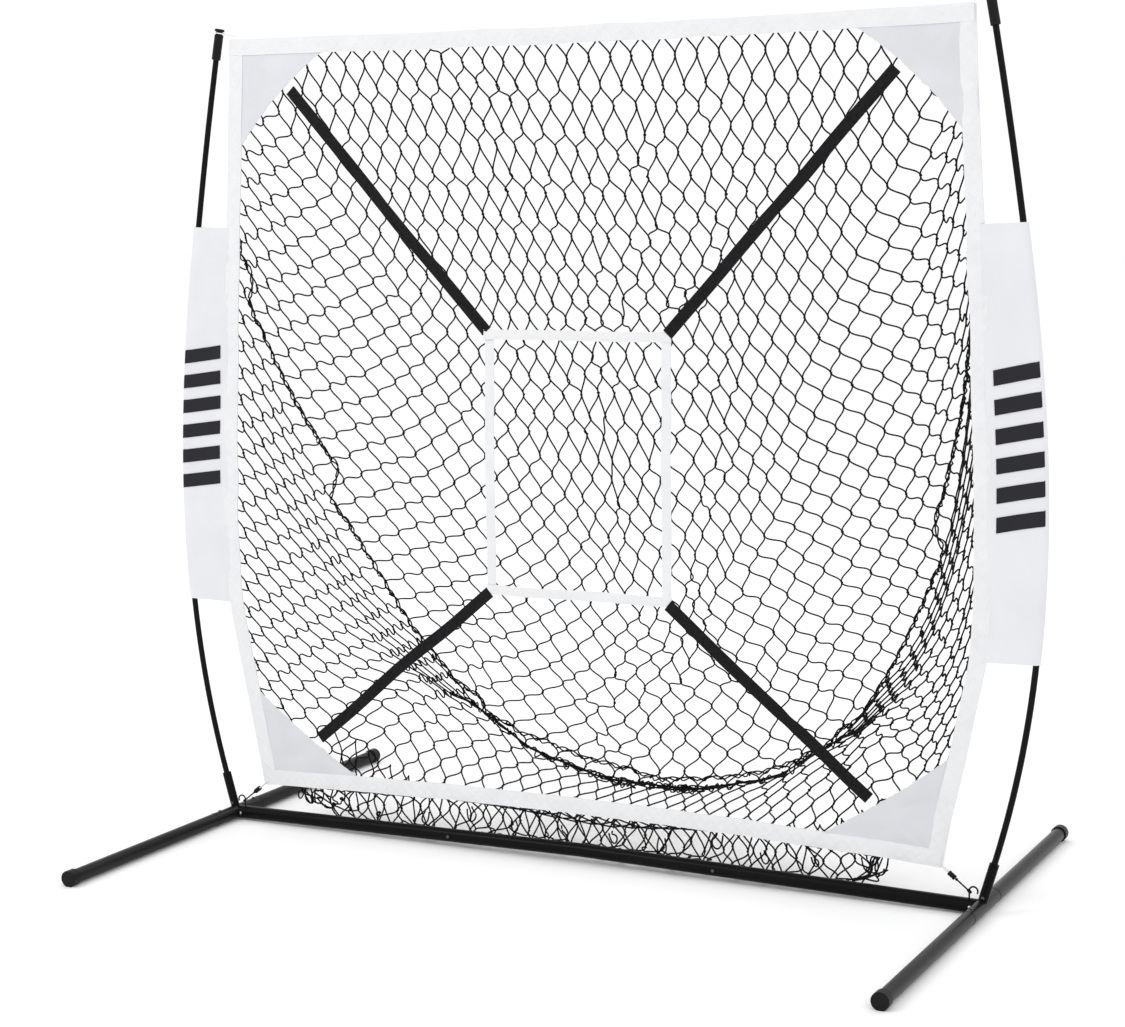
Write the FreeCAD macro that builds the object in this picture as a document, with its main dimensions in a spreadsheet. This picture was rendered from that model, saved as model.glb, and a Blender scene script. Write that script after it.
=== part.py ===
import FreeCAD, Part
import Sketcher

import math
import os

from FreeCAD import Placement, Rotation, Vector

# A bow-framed target net: steel T-hubs joined by a three-piece crossbar, four
# plug-in legs, two bent fibreglass poles, and a white-bordered netting bag with
# a strike zone held up by four straps.
#
# Frame: X along the crossbar, +Y towards the back of the bag, Z up. The origin
# is on the floor, under the middle of the crossbar. Lengths are millimetres.

SIZES = {
    # steel base
    "hub_spacing": (1524, "distance between the two hub centres"),
    "axis_height": (14.3, "height of the leg tubes' centre line"),
    "tube_radius": (12.7, "outer radius of every base tube"),
    "tube_bore": (11.5, "inner radius of a base tube"),
    "spigot_radius": (11.2, "outer radius of a swaged spigot"),
    "spigot_bore": (10.0, "inner radius of a swaged spigot"),
    "hub_half": (76, "half the length of a hub tube"),
    "leg_reach": (530, "from the crossbar line to a leg's outer face"),
    "leg_spigot": (45, "length of a leg's spigot inside the hub"),
    "bar_rise": (10, "how far the crossbar's middle stands above its ends"),
    "bar_seam": (254, "distance of the crossbar's seams from its middle"),
    "bar_spigot": (60, "length of the crossbar's inner spigots"),
    "cap_radius": (15, "outer radius of an end cap"),
    "cap_depth": (20, "length of an end cap"),
    "cap_face": (2.5, "thickness of an end cap's end"),
    # snap buttons
    "rivet_head": (3.0, "radius of a rivet's head"),
    "rivet_shank": (2.0, "radius of a rivet's shank"),
    "button_radius": (3.2, "radius of a snap button's stem"),
    "button_hole": (3.5, "radius of the hole that a button comes up through"),
    "button_top": (15.2, "height of a button's dome over the tube's centre line"),
    "button_seam": (18, "distance of a button from the seam it locks"),
    # poles
    "socket_radius": (8.5, "outer radius of a pole socket"),
    "socket_bore": (5.9, "inner radius of a pole socket"),
    "socket_top": (80, "socket mouth's distance from the hub's centre line"),
    "socket_tilt": (16, "outward tilt of a socket, degrees"),
    "pole_radius": (5.5, "radius of a pole"),
    "pole_foot": (18, "pole foot's distance from the hub's centre line"),
    "pole_section": (488, "length of each of a pole's three bent sections"),
    "pole_turn": (26.5, "total bend of a pole, degrees"),
    "ferrule_radius": (6.9, "outer radius of a pole ferrule"),
    "ferrule_bore": (5.9, "inner radius of a pole ferrule"),
    "ferrule_half": (30, "half the length of a pole ferrule"),
    "pole_cap_sleeve": (48, "length of a pole cap below its groove"),
    "pole_cap_radius": (8.5, "radius of a pole cap"),
    "pole_cap_groove": (6.5, "radius at the bottom of a pole cap's groove"),
    "groove_width": (6, "width of a pole cap's groove"),
    "pole_cap_flange": (5, "thickness of a pole cap's top"),
    # border, patches, straps and strike zone
    "sleeve_inner_foot": (745, "half distance between the sleeves' inner edges, below"),
    "sleeve_inner_top": (735, "half distance between the sleeves' inner edges, above"),
    "border_top": (1526, "height of the border's top edge"),
    "border_corner_top": (730, "half width of the border at its top corners"),
    "strap_far_top_x": (596, "half distance between the upper straps' far ends"),
    "strap_far_top_z": (1426, "height of the upper straps' far ends"),
    "strap_far_foot_x": (561, "half distance between the lower straps' far ends"),
    "strap_far_foot_z": (182, "height of the lower straps' far ends"),
    "floor_corner_rise": (25, "how far the floor's corners start above the bottom tape"),
    "border_foot": (75, "height of the border's bottom corners"),
    "border_corner_foot": (692, "half width of the border at its bottom corners"),
    "tape_width": (30, "width of the border tape"),
    "tape_thick": (2.4, "thickness of the doubled border tape"),
    "patch_leg_top": (250, "leg of an upper corner patch"),
    "patch_drop_top": (250, "height of an upper corner patch"),
    "patch_leg_foot": (262, "leg of a lower corner patch"),
    "patch_rise_foot": (222, "height of a lower corner patch"),
    "patch_thick": (1.6, "thickness of a corner patch"),
    "strap_width": (22, "width of a diagonal strap"),
    "strap_thick": (1.6, "thickness of a strap or strike zone tape"),
    "zone_half": (187, "half the strike zone's outer width"),
    "zone_top": (982, "height of the strike zone's top edge"),
    "zone_foot": (491, "height of the strike zone's bottom edge"),
    "zone_tape": (18, "width of the strike zone's tape"),
    # side sleeves
    "sleeve_top": (1168, "height of a side sleeve's top edge"),
    "sleeve_foot": (437, "height of a side sleeve's bottom edge"),
    "sleeve_radius": (8.6, "outer radius of a sleeve's pole pocket"),
    "sleeve_bore": (7.5, "inner radius of a sleeve's pole pocket"),
    "cloth_thick": (1.2, "thickness of the sleeve cloth"),
    # netting
    "net_thick": (1.5, "thickness that stands for the knotted netting"),
    # corner hardware
    "hook_reach": (21, "hook stem's distance inboard of the hub"),
    "hook_wire": (1.5, "radius of a hook's wire"),
    "hook_bend": (7.5, "radius of a hook's bend"),
    "hook_stem": (13, "height of a hook's stem above the crossbar"),
    "link_wire": (1.4, "radius of a link's wire"),
    "link_ring": (3.9, "radius of a link's ring"),
    "cord_radius": (1.1, "radius of the elastic cord"),
    "cord_loop": (2.5, "radius of an elastic loop's small end"),
    "barrel_radius": (4.6, "radius of a cord barrel"),
    "barrel_bore": (3.8, "bore of a cord barrel"),
    "barrel_length": (15, "length of a cord barrel"),
    "barrel_reach": (26, "a cord barrel's distance from the cord hole"),
}

# A pole's three sections share its bend like a bow: most at the foot.
BEND_SHARES = (5, 3, 1)
SIDES = (("left", -1), ("right", 1))
ENDS = (("front", -1), ("rear", 1))

doc = FreeCAD.newDocument("target_net")
sheet = doc.addObject("Spreadsheet::Sheet", "Sizes")
for row, (alias, (number, note)) in enumerate(SIZES.items(), start=1):
    sheet.set(f"A{row}", note)
    sheet.set(f"B{row}", str(number))
    sheet.setAlias(f"B{row}", alias)
doc.recompute()

sub_parts = []


def size(alias):
    """The number that the sheet holds under an alias."""
    return float(sheet.get(alias))


def bind(item, **formulas):
    """Bind properties to formulas over the sheet; {name} stands for a cell."""
    for name, formula in formulas.items():
        item.setExpression(name.replace("__", "."), formula.format_map(Cells()))
    return item


class Cells(dict):
    """Turns {alias} in a formula into a reference to the sheet's cell."""

    def __missing__(self, alias):
        return f"Sizes.{alias}"


def keep(item, label, place=None):
    """Name a finished sub-part, place it, and list it for export."""
    item.Label = label
    if place is not None:
        item.Placement = place
    sub_parts.append(item)
    return item


def cylinder(radius, height, place=None):
    item = doc.addObject("Part::Cylinder", "Cylinder")
    bind(item, Radius=radius, Height=height)
    if place is not None:
        item.Placement = place
    return item


def box(length, width, height, place):
    item = doc.addObject("Part::Box", "Box")
    bind(item, Length=length, Width=width, Height=height)
    item.Placement = place
    return item


def fuse(items):
    joined = doc.addObject("Part::MultiFuse", "Fusion")
    joined.Shapes = items
    return joined


def cut(base, tools):
    """Take one or more tools away from a base."""
    tool = tools[0] if len(tools) == 1 else fuse(tools)
    result = doc.addObject("Part::Cut", "Cut")
    result.Base = base
    result.Tool = tool
    return result


def facing(direction, base=Vector()):
    """A placement at base whose own Z runs along direction."""
    return Placement(base, Rotation(Vector(0, 0, 1), direction))


def own_shape(label, shape, place=None):
    """A sub-part whose shape is made with Part's own functions."""
    item = doc.addObject("Part::Feature", "Shape")
    item.Shape = shape
    return keep(item, label, place or Placement())


def turned(name, outline):
    """A PartDesign body turned about Z from (radius, height) formulas."""
    body = doc.addObject("PartDesign::Body", name)
    sketch = body.newObject("Sketcher::SketchObject", name + "_profile")
    planes = {f.Role: f for f in body.Origin.OriginFeatures}
    sketch.AttachmentSupport = [(planes["XZ_Plane"], "")]
    sketch.MapMode = "FlatFace"
    points = [(number(r), number(z)) for r, z in outline]
    for i, (r, z) in enumerate(points):
        r2, z2 = points[(i + 1) % len(points)]
        sketch.addGeometry(Part.LineSegment(Vector(r, z, 0), Vector(r2, z2, 0)))
    for i in range(len(points)):
        following = (i + 1) % len(points)
        sketch.addConstraint(Sketcher.Constraint("Coincident", i, 2, following, 1))
    for i, (radius, height) in enumerate(outline):
        pin_point(sketch, i, "DistanceX", radius, axis=-2)
        pin_point(sketch, i, "DistanceY", height, axis=-1)
    turn = body.newObject("PartDesign::Revolution", name + "_turn")
    turn.Profile = sketch
    turn.ReferenceAxis = (sketch, ["V_Axis"])
    turn.Angle = 360
    body.Tip = turn
    return body


def pin_point(sketch, line, kind, formula, axis):
    """Hold one coordinate of a line's start: on an axis, or at a formula."""
    place = number(formula)
    if abs(place) < 1e-9:
        sketch.addConstraint(Sketcher.Constraint("PointOnObject", line, 1, axis))
        return
    if place > 0:
        rule = Sketcher.Constraint(kind, -1, 1, line, 1, place)
        text = formula
    else:
        rule = Sketcher.Constraint(kind, line, 1, -1, 1, -place)
        text = f"-({formula})"
    index = sketch.addConstraint(rule)
    sketch.setExpression(f"Constraints[{index}]", text.format_map(Cells()))


def number(formula):
    """The value of a formula that uses only sizes and arithmetic."""
    scratch = sheet.evalExpression(formula.format_map(Cells()).replace("Sizes.", ""))
    return float(scratch)


# ---------------------------------------------------------------- steel base

HUB_X = size("hub_spacing") / 2
AXIS_Z = size("axis_height")
BAR_TILT = math.atan2(size("bar_rise"), HUB_X)
TUBE = size("tube_radius")
ALONG_Y = Rotation(Vector(0, 0, 1), Vector(0, 1, 0))
TO_FRONT = Vector(0, -1, 0)


def hub_centre(side):
    return Vector(side * HUB_X, 0, AXIS_Z)


def bar_direction(side):
    """From a hub towards the middle of the crossbar, gently upwards."""
    return Vector(-side * math.cos(BAR_TILT), 0, math.sin(BAR_TILT))


def y_cylinder(radius, half):
    """A cylinder along Y, centred on the origin."""
    start = Vector(0, -number(half), 0)
    return cylinder(radius, f"2 * ({half})", Placement(start, ALONG_Y))


SCREW_REACH = 16.5
SCREW_HOLE = "2.2"
RIVET_HEIGHT = 18


def front_hole(direction, distance, radius):
    """A hole through the front wall of a tube that runs along direction."""
    return cylinder(radius, "2 * {tube_radius}", facing(TO_FRONT, direction * distance))


def make_hub(name, side):
    """A leg tube with a welded receiver that the crossbar slides over."""
    inboard = bar_direction(side)
    receiver = cylinder("{spigot_radius}", "{tube_radius} + {bar_spigot}", facing(inboard))
    hollow = [
        y_cylinder("{tube_bore}", "{hub_half} + 1"),
        cylinder(
            "{spigot_bore}",
            "{bar_spigot} + 2",
            facing(inboard, inboard * TUBE),
        ),
        front_hole(inboard, SCREW_REACH, SCREW_HOLE),
    ]
    for _, end in ENDS:
        reach = end * (size("hub_half") - size("button_seam"))
        top = Placement(Vector(0, reach, 0), Rotation())
        hollow.append(cylinder("{button_hole}", "2 * {tube_radius}", top))
    shell = fuse([y_cylinder("{tube_radius}", "{hub_half}"), receiver])
    keep(cut(shell, hollow), f"hub_{name}", Placement(hub_centre(side), Rotation()))


def make_bar_end(name, side):
    """An outer crossbar section, from the hub to the seam."""
    inboard = bar_direction(side)
    length = "({hub_spacing} / 2 - {bar_seam})"
    outer = cylinder("{tube_radius}", length, facing(inboard))
    hub_face = y_cylinder("{tube_radius}", "2 * {tube_radius}")
    lock = number(length) - size("button_seam")
    hollow = [
        cylinder("{tube_bore}", length + " + 1", facing(inboard)),
        hub_face,
        front_hole(inboard, SCREW_REACH, SCREW_HOLE),
        front_hole(inboard, lock, "{button_hole}"),
    ]
    bar = cut(outer, hollow)
    keep(bar, f"crossbar_{name}", Placement(hub_centre(side), Rotation()))


def make_bar_middle():
    """The middle crossbar section: two straight halves that meet at a kink,
    with a swaged spigot at each end."""
    seam = "{bar_seam}"
    halves = []
    for _, side in SIDES:
        outward = bar_direction(side) * -1
        lead = facing(outward, outward * -5)
        outer = cylinder("{tube_radius}", seam + " + 5", lead)
        spigot = cylinder("{spigot_radius}", seam + " + {bar_spigot}", facing(outward))
        lock = size("bar_seam") + size("button_seam")
        mitre = Placement(Vector(-20 if side > 0 else 0, -20, -20), Rotation())
        hollow = [
            cylinder("{spigot_bore}", seam + " + {bar_spigot} + 8", lead),
            cylinder("{tube_bore}", seam + " - 7", lead),
            front_hole(outward, lock, "{button_hole}"),
            box("20", "40", "40", mitre),
        ]
        halves.append(cut(fuse([outer, spigot]), hollow))
    middle = Vector(0, 0, AXIS_Z + size("bar_rise"))
    keep(fuse(halves), "crossbar_center", Placement(middle, Rotation()))


def make_leg(label, side, end):
    """A leg tube whose swaged spigot plugs into the hub."""
    length = "({leg_reach} - {hub_half} - {cap_face})"
    outer = cylinder("{tube_radius}", length)
    spigot = cylinder(
        "{spigot_radius}",
        "{leg_spigot} + 10",
        Placement(Vector(0, 0, -size("leg_spigot")), Rotation()),
    )
    bore_start = Placement(Vector(0, 0, -size("leg_spigot") - 1), Rotation())
    neck = cylinder("{spigot_bore}", "{leg_spigot} + 20", bore_start)
    wide_start = Placement(Vector(0, 0, 12), Rotation())
    bore = cylinder("{tube_bore}", length, wide_start)
    # In a leg's own frame its Z runs outwards; the button side is up in the model.
    up = Vector(0, end, 0)
    lock = facing(up, Vector(0, 0, -size("button_seam")))
    hole = cylinder("{button_hole}", "2 * {tube_radius}", lock)
    seam = Vector(side * HUB_X, end * size("hub_half"), AXIS_Z)
    turn = Rotation(Vector(0, 0, 0), Vector(0, 0, end), Vector(0, end, 0), "YZX")
    keep(cut(fuse([outer, spigot]), [neck, bore, hole]), label, Placement(seam, turn))


def make_end_cap(label, side, end):
    """A moulded cup over the leg's end, with a flat on its underside."""
    cup = turned(
        "EndCap",
        [
            ("0", "0"),
            ("{cap_radius} - 1.2", "0"),
            ("{cap_radius}", "1.2"),
            ("{cap_radius}", "{cap_depth} - 1"),
            ("{cap_radius} - 1", "{cap_depth}"),
            ("{tube_radius}", "{cap_depth}"),
            ("{tube_radius}", "{cap_face}"),
            ("0", "{cap_face}"),
        ],
    )
    outer_face = Vector(side * HUB_X, end * size("leg_reach"), AXIS_Z)
    inward = Rotation(Vector(0, 0, 0), Vector(0, 0, -end), Vector(0, -end, 0), "YZX")
    # In the cap's own frame, the floor lies along Y, below the cap.
    floor_side = inward.inverted().multVec(Vector(0, 0, -1))
    slab_turn = Rotation(Vector(0, 0, 1), floor_side)
    corner = slab_turn.multVec(Vector(-25, -25, 0)) + floor_side * AXIS_Z
    slab = box("50", "50", "10", Placement(corner, slab_turn))
    keep(cut(cup, [slab]), label, Placement(outer_face, inward))


def make_button(label, place):
    """A domed stem on a flange; its own Z is the way it stands out."""
    top = "{button_top}"
    body = turned(
        "Button",
        [
            ("0", "7.6"),
            ("4.3", "7.6"),
            ("4.3", "8.7"),
            ("{button_radius}", "8.7"),
            ("{button_radius}", top + " - 1.6"),
            ("{button_radius} * 0.78", top + " - 0.6"),
            ("{button_radius} * 0.4", top + " - 0.1"),
            ("0", top),
        ],
    )
    keep(body, label, place)


def button_places():
    """Where the six snap buttons stand, and the way each one points."""
    places = {}
    for name, side in SIDES:
        for where, end in ENDS:
            reach = end * (size("hub_half") - size("button_seam"))
            at = hub_centre(side) + Vector(0, reach, 0)
            places[f"leg_button_{where}_{name}"] = (Placement(at, Rotation()), end)
        along = bar_direction(side) * (HUB_X - size("bar_seam") - size("button_seam"))
        at = hub_centre(side) + along
        places[f"bar_button_{name}"] = (facing(TO_FRONT, at), side)
    return places


def spring_shape():
    """A V-shaped leaf spring: a lower leaf, a bend and a rising upper leaf."""
    thick, width = 0.8, 7.0
    bend = Vector(-22, 0, -5)
    lower = Part.makeBox(34, width, thick, Vector(-22, -width / 2, -8.6))
    ring = Part.makeCylinder(3.6, width, Vector(bend.x, width / 2, bend.z), TO_FRONT)
    core = Part.makeCylinder(2.8, width, Vector(bend.x, width / 2, bend.z), TO_FRONT)
    half = Part.makeBox(10, width, 10, Vector(bend.x - 10, -width / 2, bend.z - 5))
    loop = ring.cut(core).common(half)
    upper = Part.makeBox(20, width, thick, Vector(0, -width / 2, 2.8))
    upper.rotate(Vector(), Vector(0, 1, 0), -8)
    upper.translate(bend + Vector(0, 0, 0))
    return lower.fuse(loop).fuse(upper)


def make_springs(places):
    """The V springs inside the tubes, one behind each button."""
    springs = []
    for place, along in places.values():
        spring = spring_shape()
        # The bend points towards the open end of the spigot.
        axis = place.Rotation.multVec(Vector(0, 0, 1))
        run = Vector(0, 1, 0) if abs(axis.z) > 0.5 else Vector(1, 0, 0)
        turn = Rotation(run * along, Vector(0, 0, 0), axis, "ZXY")
        spring.Placement = Placement(place.Base, turn)
        springs.append(spring)
    own_shape("button_springs", Part.makeCompound(springs))


def rivet_shape(reach, grip):
    """A domed rivet whose head sits at reach and whose shank runs inwards."""
    curve, head, sagitta = 5.0, size("rivet_head"), 4.0
    dome = Part.makeSphere(curve).common(Part.makeCylinder(head, curve, Vector(0, 0, sagitta)))
    dome.translate(Vector(0, 0, reach - sagitta))
    shank = Part.makeCylinder(size("rivet_shank"), grip, Vector(0, 0, reach - grip))
    return dome.fuse(shank)


def make_rivets():
    """Blind rivets: crossbar to receiver, and socket to pole foot plug."""
    bar, socket = [], []
    for _, side in SIDES:
        rivet = rivet_shape(TUBE + 0.05, 4)
        at = hub_centre(side) + bar_direction(side) * SCREW_REACH
        rivet.Placement = facing(TO_FRONT, at)
        bar.append(rivet)
        rivet = rivet_shape(size("socket_radius") + 0.05, 2.4)
        at = hub_centre(side) + pole_heading(side, size("socket_tilt")) * RIVET_HEIGHT
        rivet.Placement = facing(TO_FRONT, at)
        socket.append(rivet)
    own_shape("crossbar_rivets", Part.makeCompound(bar))
    own_shape("socket_rivets", Part.makeCompound(socket))


# --------------------------------------------------------------------- poles


def pole_heading(side, angle):
    """The unit vector that leans outwards by angle, in degrees."""
    lean = math.radians(angle)
    return Vector(side * math.sin(lean), 0, math.cos(lean))


def pole_arcs(side):
    """Each bent section's start, start angle and turn, from foot to tip."""
    angle = size("socket_tilt")
    start = hub_centre(side) + pole_heading(side, angle) * size("socket_top")
    arcs = []
    for share in BEND_SHARES:
        turn = size("pole_turn") * share / sum(BEND_SHARES)
        arcs.append((start, angle, turn))
        radius = size("pole_section") / math.radians(turn)
        centre = start + pole_inward(side, angle) * radius
        angle -= turn
        start = centre - pole_inward(side, angle) * radius
    arcs.append((start, angle, 0))
    return arcs


def pole_inward(side, angle):
    """The normal of a pole's path that points to the middle of the object."""
    lean = math.radians(angle)
    return Vector(-side * math.cos(lean), 0, math.sin(lean))


def pole_torus(side, arc, share, radius):
    """A bent round bar along one section of a pole."""
    start, angle, turn = arc
    bend = "{pole_turn} * %d / %d" % (share, sum(BEND_SHARES))
    item = doc.addObject("Part::Torus", "Torus")
    bind(item, Radius1="{pole_section} / (" + bend + ") * 180 / pi", Radius2=radius)
    bind(item, Angle3=bend)
    reach = size("pole_section") / math.radians(turn)
    centre = start + pole_inward(side, angle) * reach
    frame = Rotation(
        pole_inward(side, angle) * -1,
        pole_heading(side, angle),
        Vector(0, -side, 0),
        "XYZ",
    )
    item.Placement = Placement(centre, frame)
    return item


def make_poles(name, side):
    arcs = pole_arcs(side)
    for index, (level, share) in enumerate(zip(("lower", "middle", "upper"), BEND_SHARES)):
        section = pole_torus(side, arcs[index], share, "{pole_radius}")
        if index == 0:
            axis = pole_heading(side, size("socket_tilt"))
            foot = hub_centre(side) + axis * size("pole_foot")
            straight = cylinder(
                "{pole_radius}", "{socket_top} - {pole_foot}", facing(axis, foot)
            )
            section = fuse([straight, section])
        keep(section, f"pole_{level}_{name}", section.Placement)


def make_ferrules():
    """Metal sleeves over the poles' four joints, inside the side sleeves."""
    ferrules = []
    for _, side in SIDES:
        for start, angle, _ in pole_arcs(side)[1:3]:
            axis = pole_heading(side, angle)
            half = size("ferrule_half")
            outer = Part.makeCylinder(size("ferrule_radius"), 2 * half)
            inner = Part.makeCylinder(size("ferrule_bore"), 2 * half)
            ring = outer.cut(inner)
            ring.Placement = facing(axis, start - axis * half)
            ferrules.append(ring)
    own_shape("pole_ferrules", Part.makeCompound(ferrules))


def make_socket(name, side):
    """A pole socket whose foot is coped to the hub tube."""
    outer = cylinder("{socket_radius}", "{socket_top}")
    bore_start = Placement(Vector(0, 0, size("pole_foot")), Rotation())
    at_rivet = facing(TO_FRONT, Vector(0, 0, RIVET_HEIGHT))
    axis = pole_heading(side, size("socket_tilt"))
    place = facing(axis, hub_centre(side))
    bar_side = facing(place.Rotation.inverted().multVec(bar_direction(side)))
    hollow = [
        y_cylinder("{tube_radius}", "2 * {tube_radius}"),
        cylinder("{tube_radius}", "{socket_top}", bar_side),
        cylinder("{socket_bore}", "{socket_top}", bore_start),
        cylinder(SCREW_HOLE, "2 * {socket_radius}", at_rivet),
    ]
    keep(cut(outer, hollow), f"pole_socket_{name}", place)


def make_pole_cap(name, side):
    """A moulded cap with a groove for the net's elastic loop."""
    groove = "({pole_cap_sleeve} + {groove_width})"
    top = groove + " + {pole_cap_flange}"
    body = turned(
        "PoleCap",
        [
            ("{pole_radius} + 0.3", "0"),
            ("{pole_cap_radius} - 0.8", "0"),
            ("{pole_cap_radius}", "0.8"),
            ("{pole_cap_radius}", "{pole_cap_sleeve}"),
            ("{pole_cap_groove}", "{pole_cap_sleeve}"),
            ("{pole_cap_groove}", groove),
            ("{pole_cap_radius} + 0.8", groove),
            ("{pole_cap_radius} + 0.8", top + " - 1.5"),
            ("{pole_cap_radius} - 0.7", top),
            ("0", top),
            ("0", groove),
            ("{pole_radius} + 0.3", groove),
        ],
    )
    keep(body, f"pole_cap_{name}", pole_cap_place(side))


def pole_cap_place(side):
    """The cap's foot: its bore's end rests on the pole's tip."""
    tip, angle, _ = pole_arcs(side)[-1]
    axis = pole_heading(side, angle)
    return facing(axis, tip - axis * (size("pole_cap_sleeve") + size("groove_width")))


# ------------------------------------------------- border, patches and straps


def edge_curve(side, inset):
    """A side edge of the border, from top to bottom, moved inwards by inset."""
    top, foot = size("border_top"), size("border_foot")
    span = top - foot
    profile = [
        (size("border_corner_top"), top),
        (750, foot + 0.74 * span),
        (770, foot + 0.39 * span),
        (762, foot + 0.245 * span),
        (727, foot + 0.12 * span),
        (size("border_corner_foot"), foot),
    ]
    curve = Part.BSplineCurve()
    curve.interpolate([Vector(side * (x - inset), 0, z) for x, z in profile])
    return curve


def level_curve(height, half, bow, inset):
    """The border's top or bottom edge, bowed by an arc in the middle."""
    ends = Vector(half, 0, height + inset)
    middle = Vector(0, 0, height + bow + inset)
    return Part.Arc(Vector(-ends.x, 0, ends.z), middle, ends)


def plate(edges, thick, middle=0.0):
    """A flat closed outline in the XZ plane, given thickness along Y."""
    face = Part.Face(Part.Wire(Part.__sortEdges__(edges)))
    face.translate(Vector(0, middle - thick / 2, 0))
    return face.extrude(Vector(0, thick, 0))


def ribbon(first, second, thick):
    """A plate between two curves, closed by straight ends."""
    a, b = first.toShape(), second.toShape()
    caps = [
        Part.LineSegment(a.firstVertex().Point, b.firstVertex().Point).toShape(),
        Part.LineSegment(a.lastVertex().Point, b.lastVertex().Point).toShape(),
    ]
    return plate([a, b] + caps, thick)


def largest(shape):
    """The largest solid of a shape that a cut has left in several pieces."""
    return max(shape.Solids, key=lambda solid: solid.Volume)


TOP_SAG = -6
FOOT_BOW = 17


def border_shapes():
    """The four border tapes, with a cord hole at each outer corner."""
    tape, thick = size("tape_width"), size("tape_thick")
    half = size("border_corner_top")
    height = size("border_top")
    top = ribbon(
        level_curve(height, half, TOP_SAG, 0), level_curve(height, half, TOP_SAG, -tape), thick
    )
    half = size("border_corner_foot")
    height = size("border_foot")
    foot = ribbon(
        level_curve(height, half, FOOT_BOW, 0), level_curve(height, half + 5, FOOT_BOW, tape), thick
    )
    shapes = {"border_top": top, "border_bottom": foot}
    for name, side in SIDES:
        strip = ribbon(edge_curve(side, 0), edge_curve(side, tape), thick)
        shapes[f"border_{name}"] = largest(strip.cut(top).cut(foot))
    for side in (-1, 1):
        for level in ("top", "bottom"):
            hole = Part.makeCylinder(4, 8, cord_hole(side, level) + Vector(0, 4, 0), TO_FRONT)
            shapes[f"border_{level}"] = shapes[f"border_{level}"].cut(hole)
    return shapes


def cord_hole(side, level):
    """The middle of the cord hole in a corner of the border."""
    if level == "top":
        return Vector(side * (size("border_corner_top") - 9), 0, size("border_top") - 9)
    return Vector(side * (size("border_corner_foot") - 8), 0, size("border_foot") + 9)


def make_patch(label, side, level, tapes):
    """A corner patch with a hollow slanting edge, sewn inside the tapes."""
    if level == "top":
        corner = Vector(side * size("border_corner_top"), 0, size("border_top"))
        leg, rise = size("patch_leg_top"), -size("patch_drop_top")
    else:
        corner = Vector(side * size("border_corner_foot"), 0, size("border_foot"))
        leg, rise = size("patch_leg_foot"), size("patch_rise_foot")
    along = corner + Vector(-side * leg, 0, 0)
    below = corner + Vector(side * 25, 0, rise)
    hollow = (along + below) * 0.5 + (corner - (along + below) * 0.5) * 0.07
    outer = corner + Vector(side * 25, 0, 0)
    edges = [
        Part.Arc(along, hollow, below).toShape(),
        Part.LineSegment(below, outer).toShape(),
        Part.LineSegment(outer, along).toShape(),
    ]
    shape = plate(edges, size("patch_thick"))
    across, upright = tapes
    window = frame_window()
    shape = shape.common(window).cut(across).cut(upright)
    own_shape(label, largest(shape))


def frame_window():
    """The region inside the border's outer edge, as a thick plate."""
    left, right = edge_curve(-1, 0).toShape(), edge_curve(1, 0).toShape()
    top = Part.LineSegment(left.firstVertex().Point, right.firstVertex().Point)
    foot = Part.LineSegment(left.lastVertex().Point, right.lastVertex().Point)
    return plate([left, right, top.toShape(), foot.toShape()], 4 * size("tape_thick"))


def make_strap(label, side, level):
    """A webbing strap from a corner patch to a corner of the strike zone."""
    corner_x = side * (size("zone_half") - size("zone_tape") / 2)
    if level == "top":
        near = Vector(corner_x, 0, size("zone_top") - size("zone_tape") / 2)
        far = Vector(side * size("strap_far_top_x"), 0, size("strap_far_top_z"))
    else:
        near = Vector(corner_x, 0, size("zone_foot") + size("zone_tape") / 2)
        far = Vector(side * size("strap_far_foot_x"), 0, size("strap_far_foot_z"))
    run = far - near
    strap = doc.addObject("Part::Box", "Strap")
    bind(strap, Width="{strap_width}", Height="{strap_thick}")
    strap.Length = run.Length
    across = run.cross(TO_FRONT) * -1
    turn = Rotation(run, across, TO_FRONT, "XZY")
    sideways = turn.multVec(Vector(0, -size("strap_width") / 2, 0))
    lap = TO_FRONT * (size("strap_thick") / 2)
    keep(strap, label, Placement(near + sideways + lap, turn))


def make_zone():
    """The strike zone: an upright rectangle of white tape."""
    corner = Vector(-size("zone_half"), -size("strap_thick") / 2, size("zone_foot"))
    outer = box(
        "2 * {zone_half}", "{strap_thick}", "{zone_top} - {zone_foot}", Placement(corner, Rotation())
    )
    inset = size("zone_tape")
    inner = box(
        "2 * ({zone_half} - {zone_tape})",
        "{strap_thick} + 2",
        "{zone_top} - {zone_foot} - 2 * {zone_tape}",
        Placement(corner + Vector(inset, -1, inset), Rotation()),
    )
    keep(cut(outer, [inner]), "strike_zone", Placement())


def make_sleeve(name, side, tape):
    """White cloth from the border to a pocket around the pole."""
    arcs = pole_arcs(side)
    outers, inners = [], []
    for index, share in enumerate(BEND_SHARES):
        outers.append(pole_torus(side, arcs[index], share, "{sleeve_radius}"))
        inners.append(pole_torus(side, arcs[index], share, "{sleeve_bore}"))
    doc.recompute()
    pocket = outers[0].Shape.fuse([item.Shape for item in outers[1:]])
    bore = inners[0].Shape.fuse([item.Shape for item in inners[1:]])
    top, foot = size("sleeve_top"), size("sleeve_foot")
    thick = size("cloth_thick")
    outline = pole_outline(side, foot, top)
    web = plate(outline, thick).cut(tape)
    slab = Part.makeBox(400, 60, top - foot, Vector(side * 800 - 200, -30, foot))
    shape = pocket.common(slab).fuse(web).cut(bore)
    for item in outers + inners:
        doc.removeObject(item.Name)
    own_shape(f"side_sleeve_{name}", largest(shape))


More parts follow.
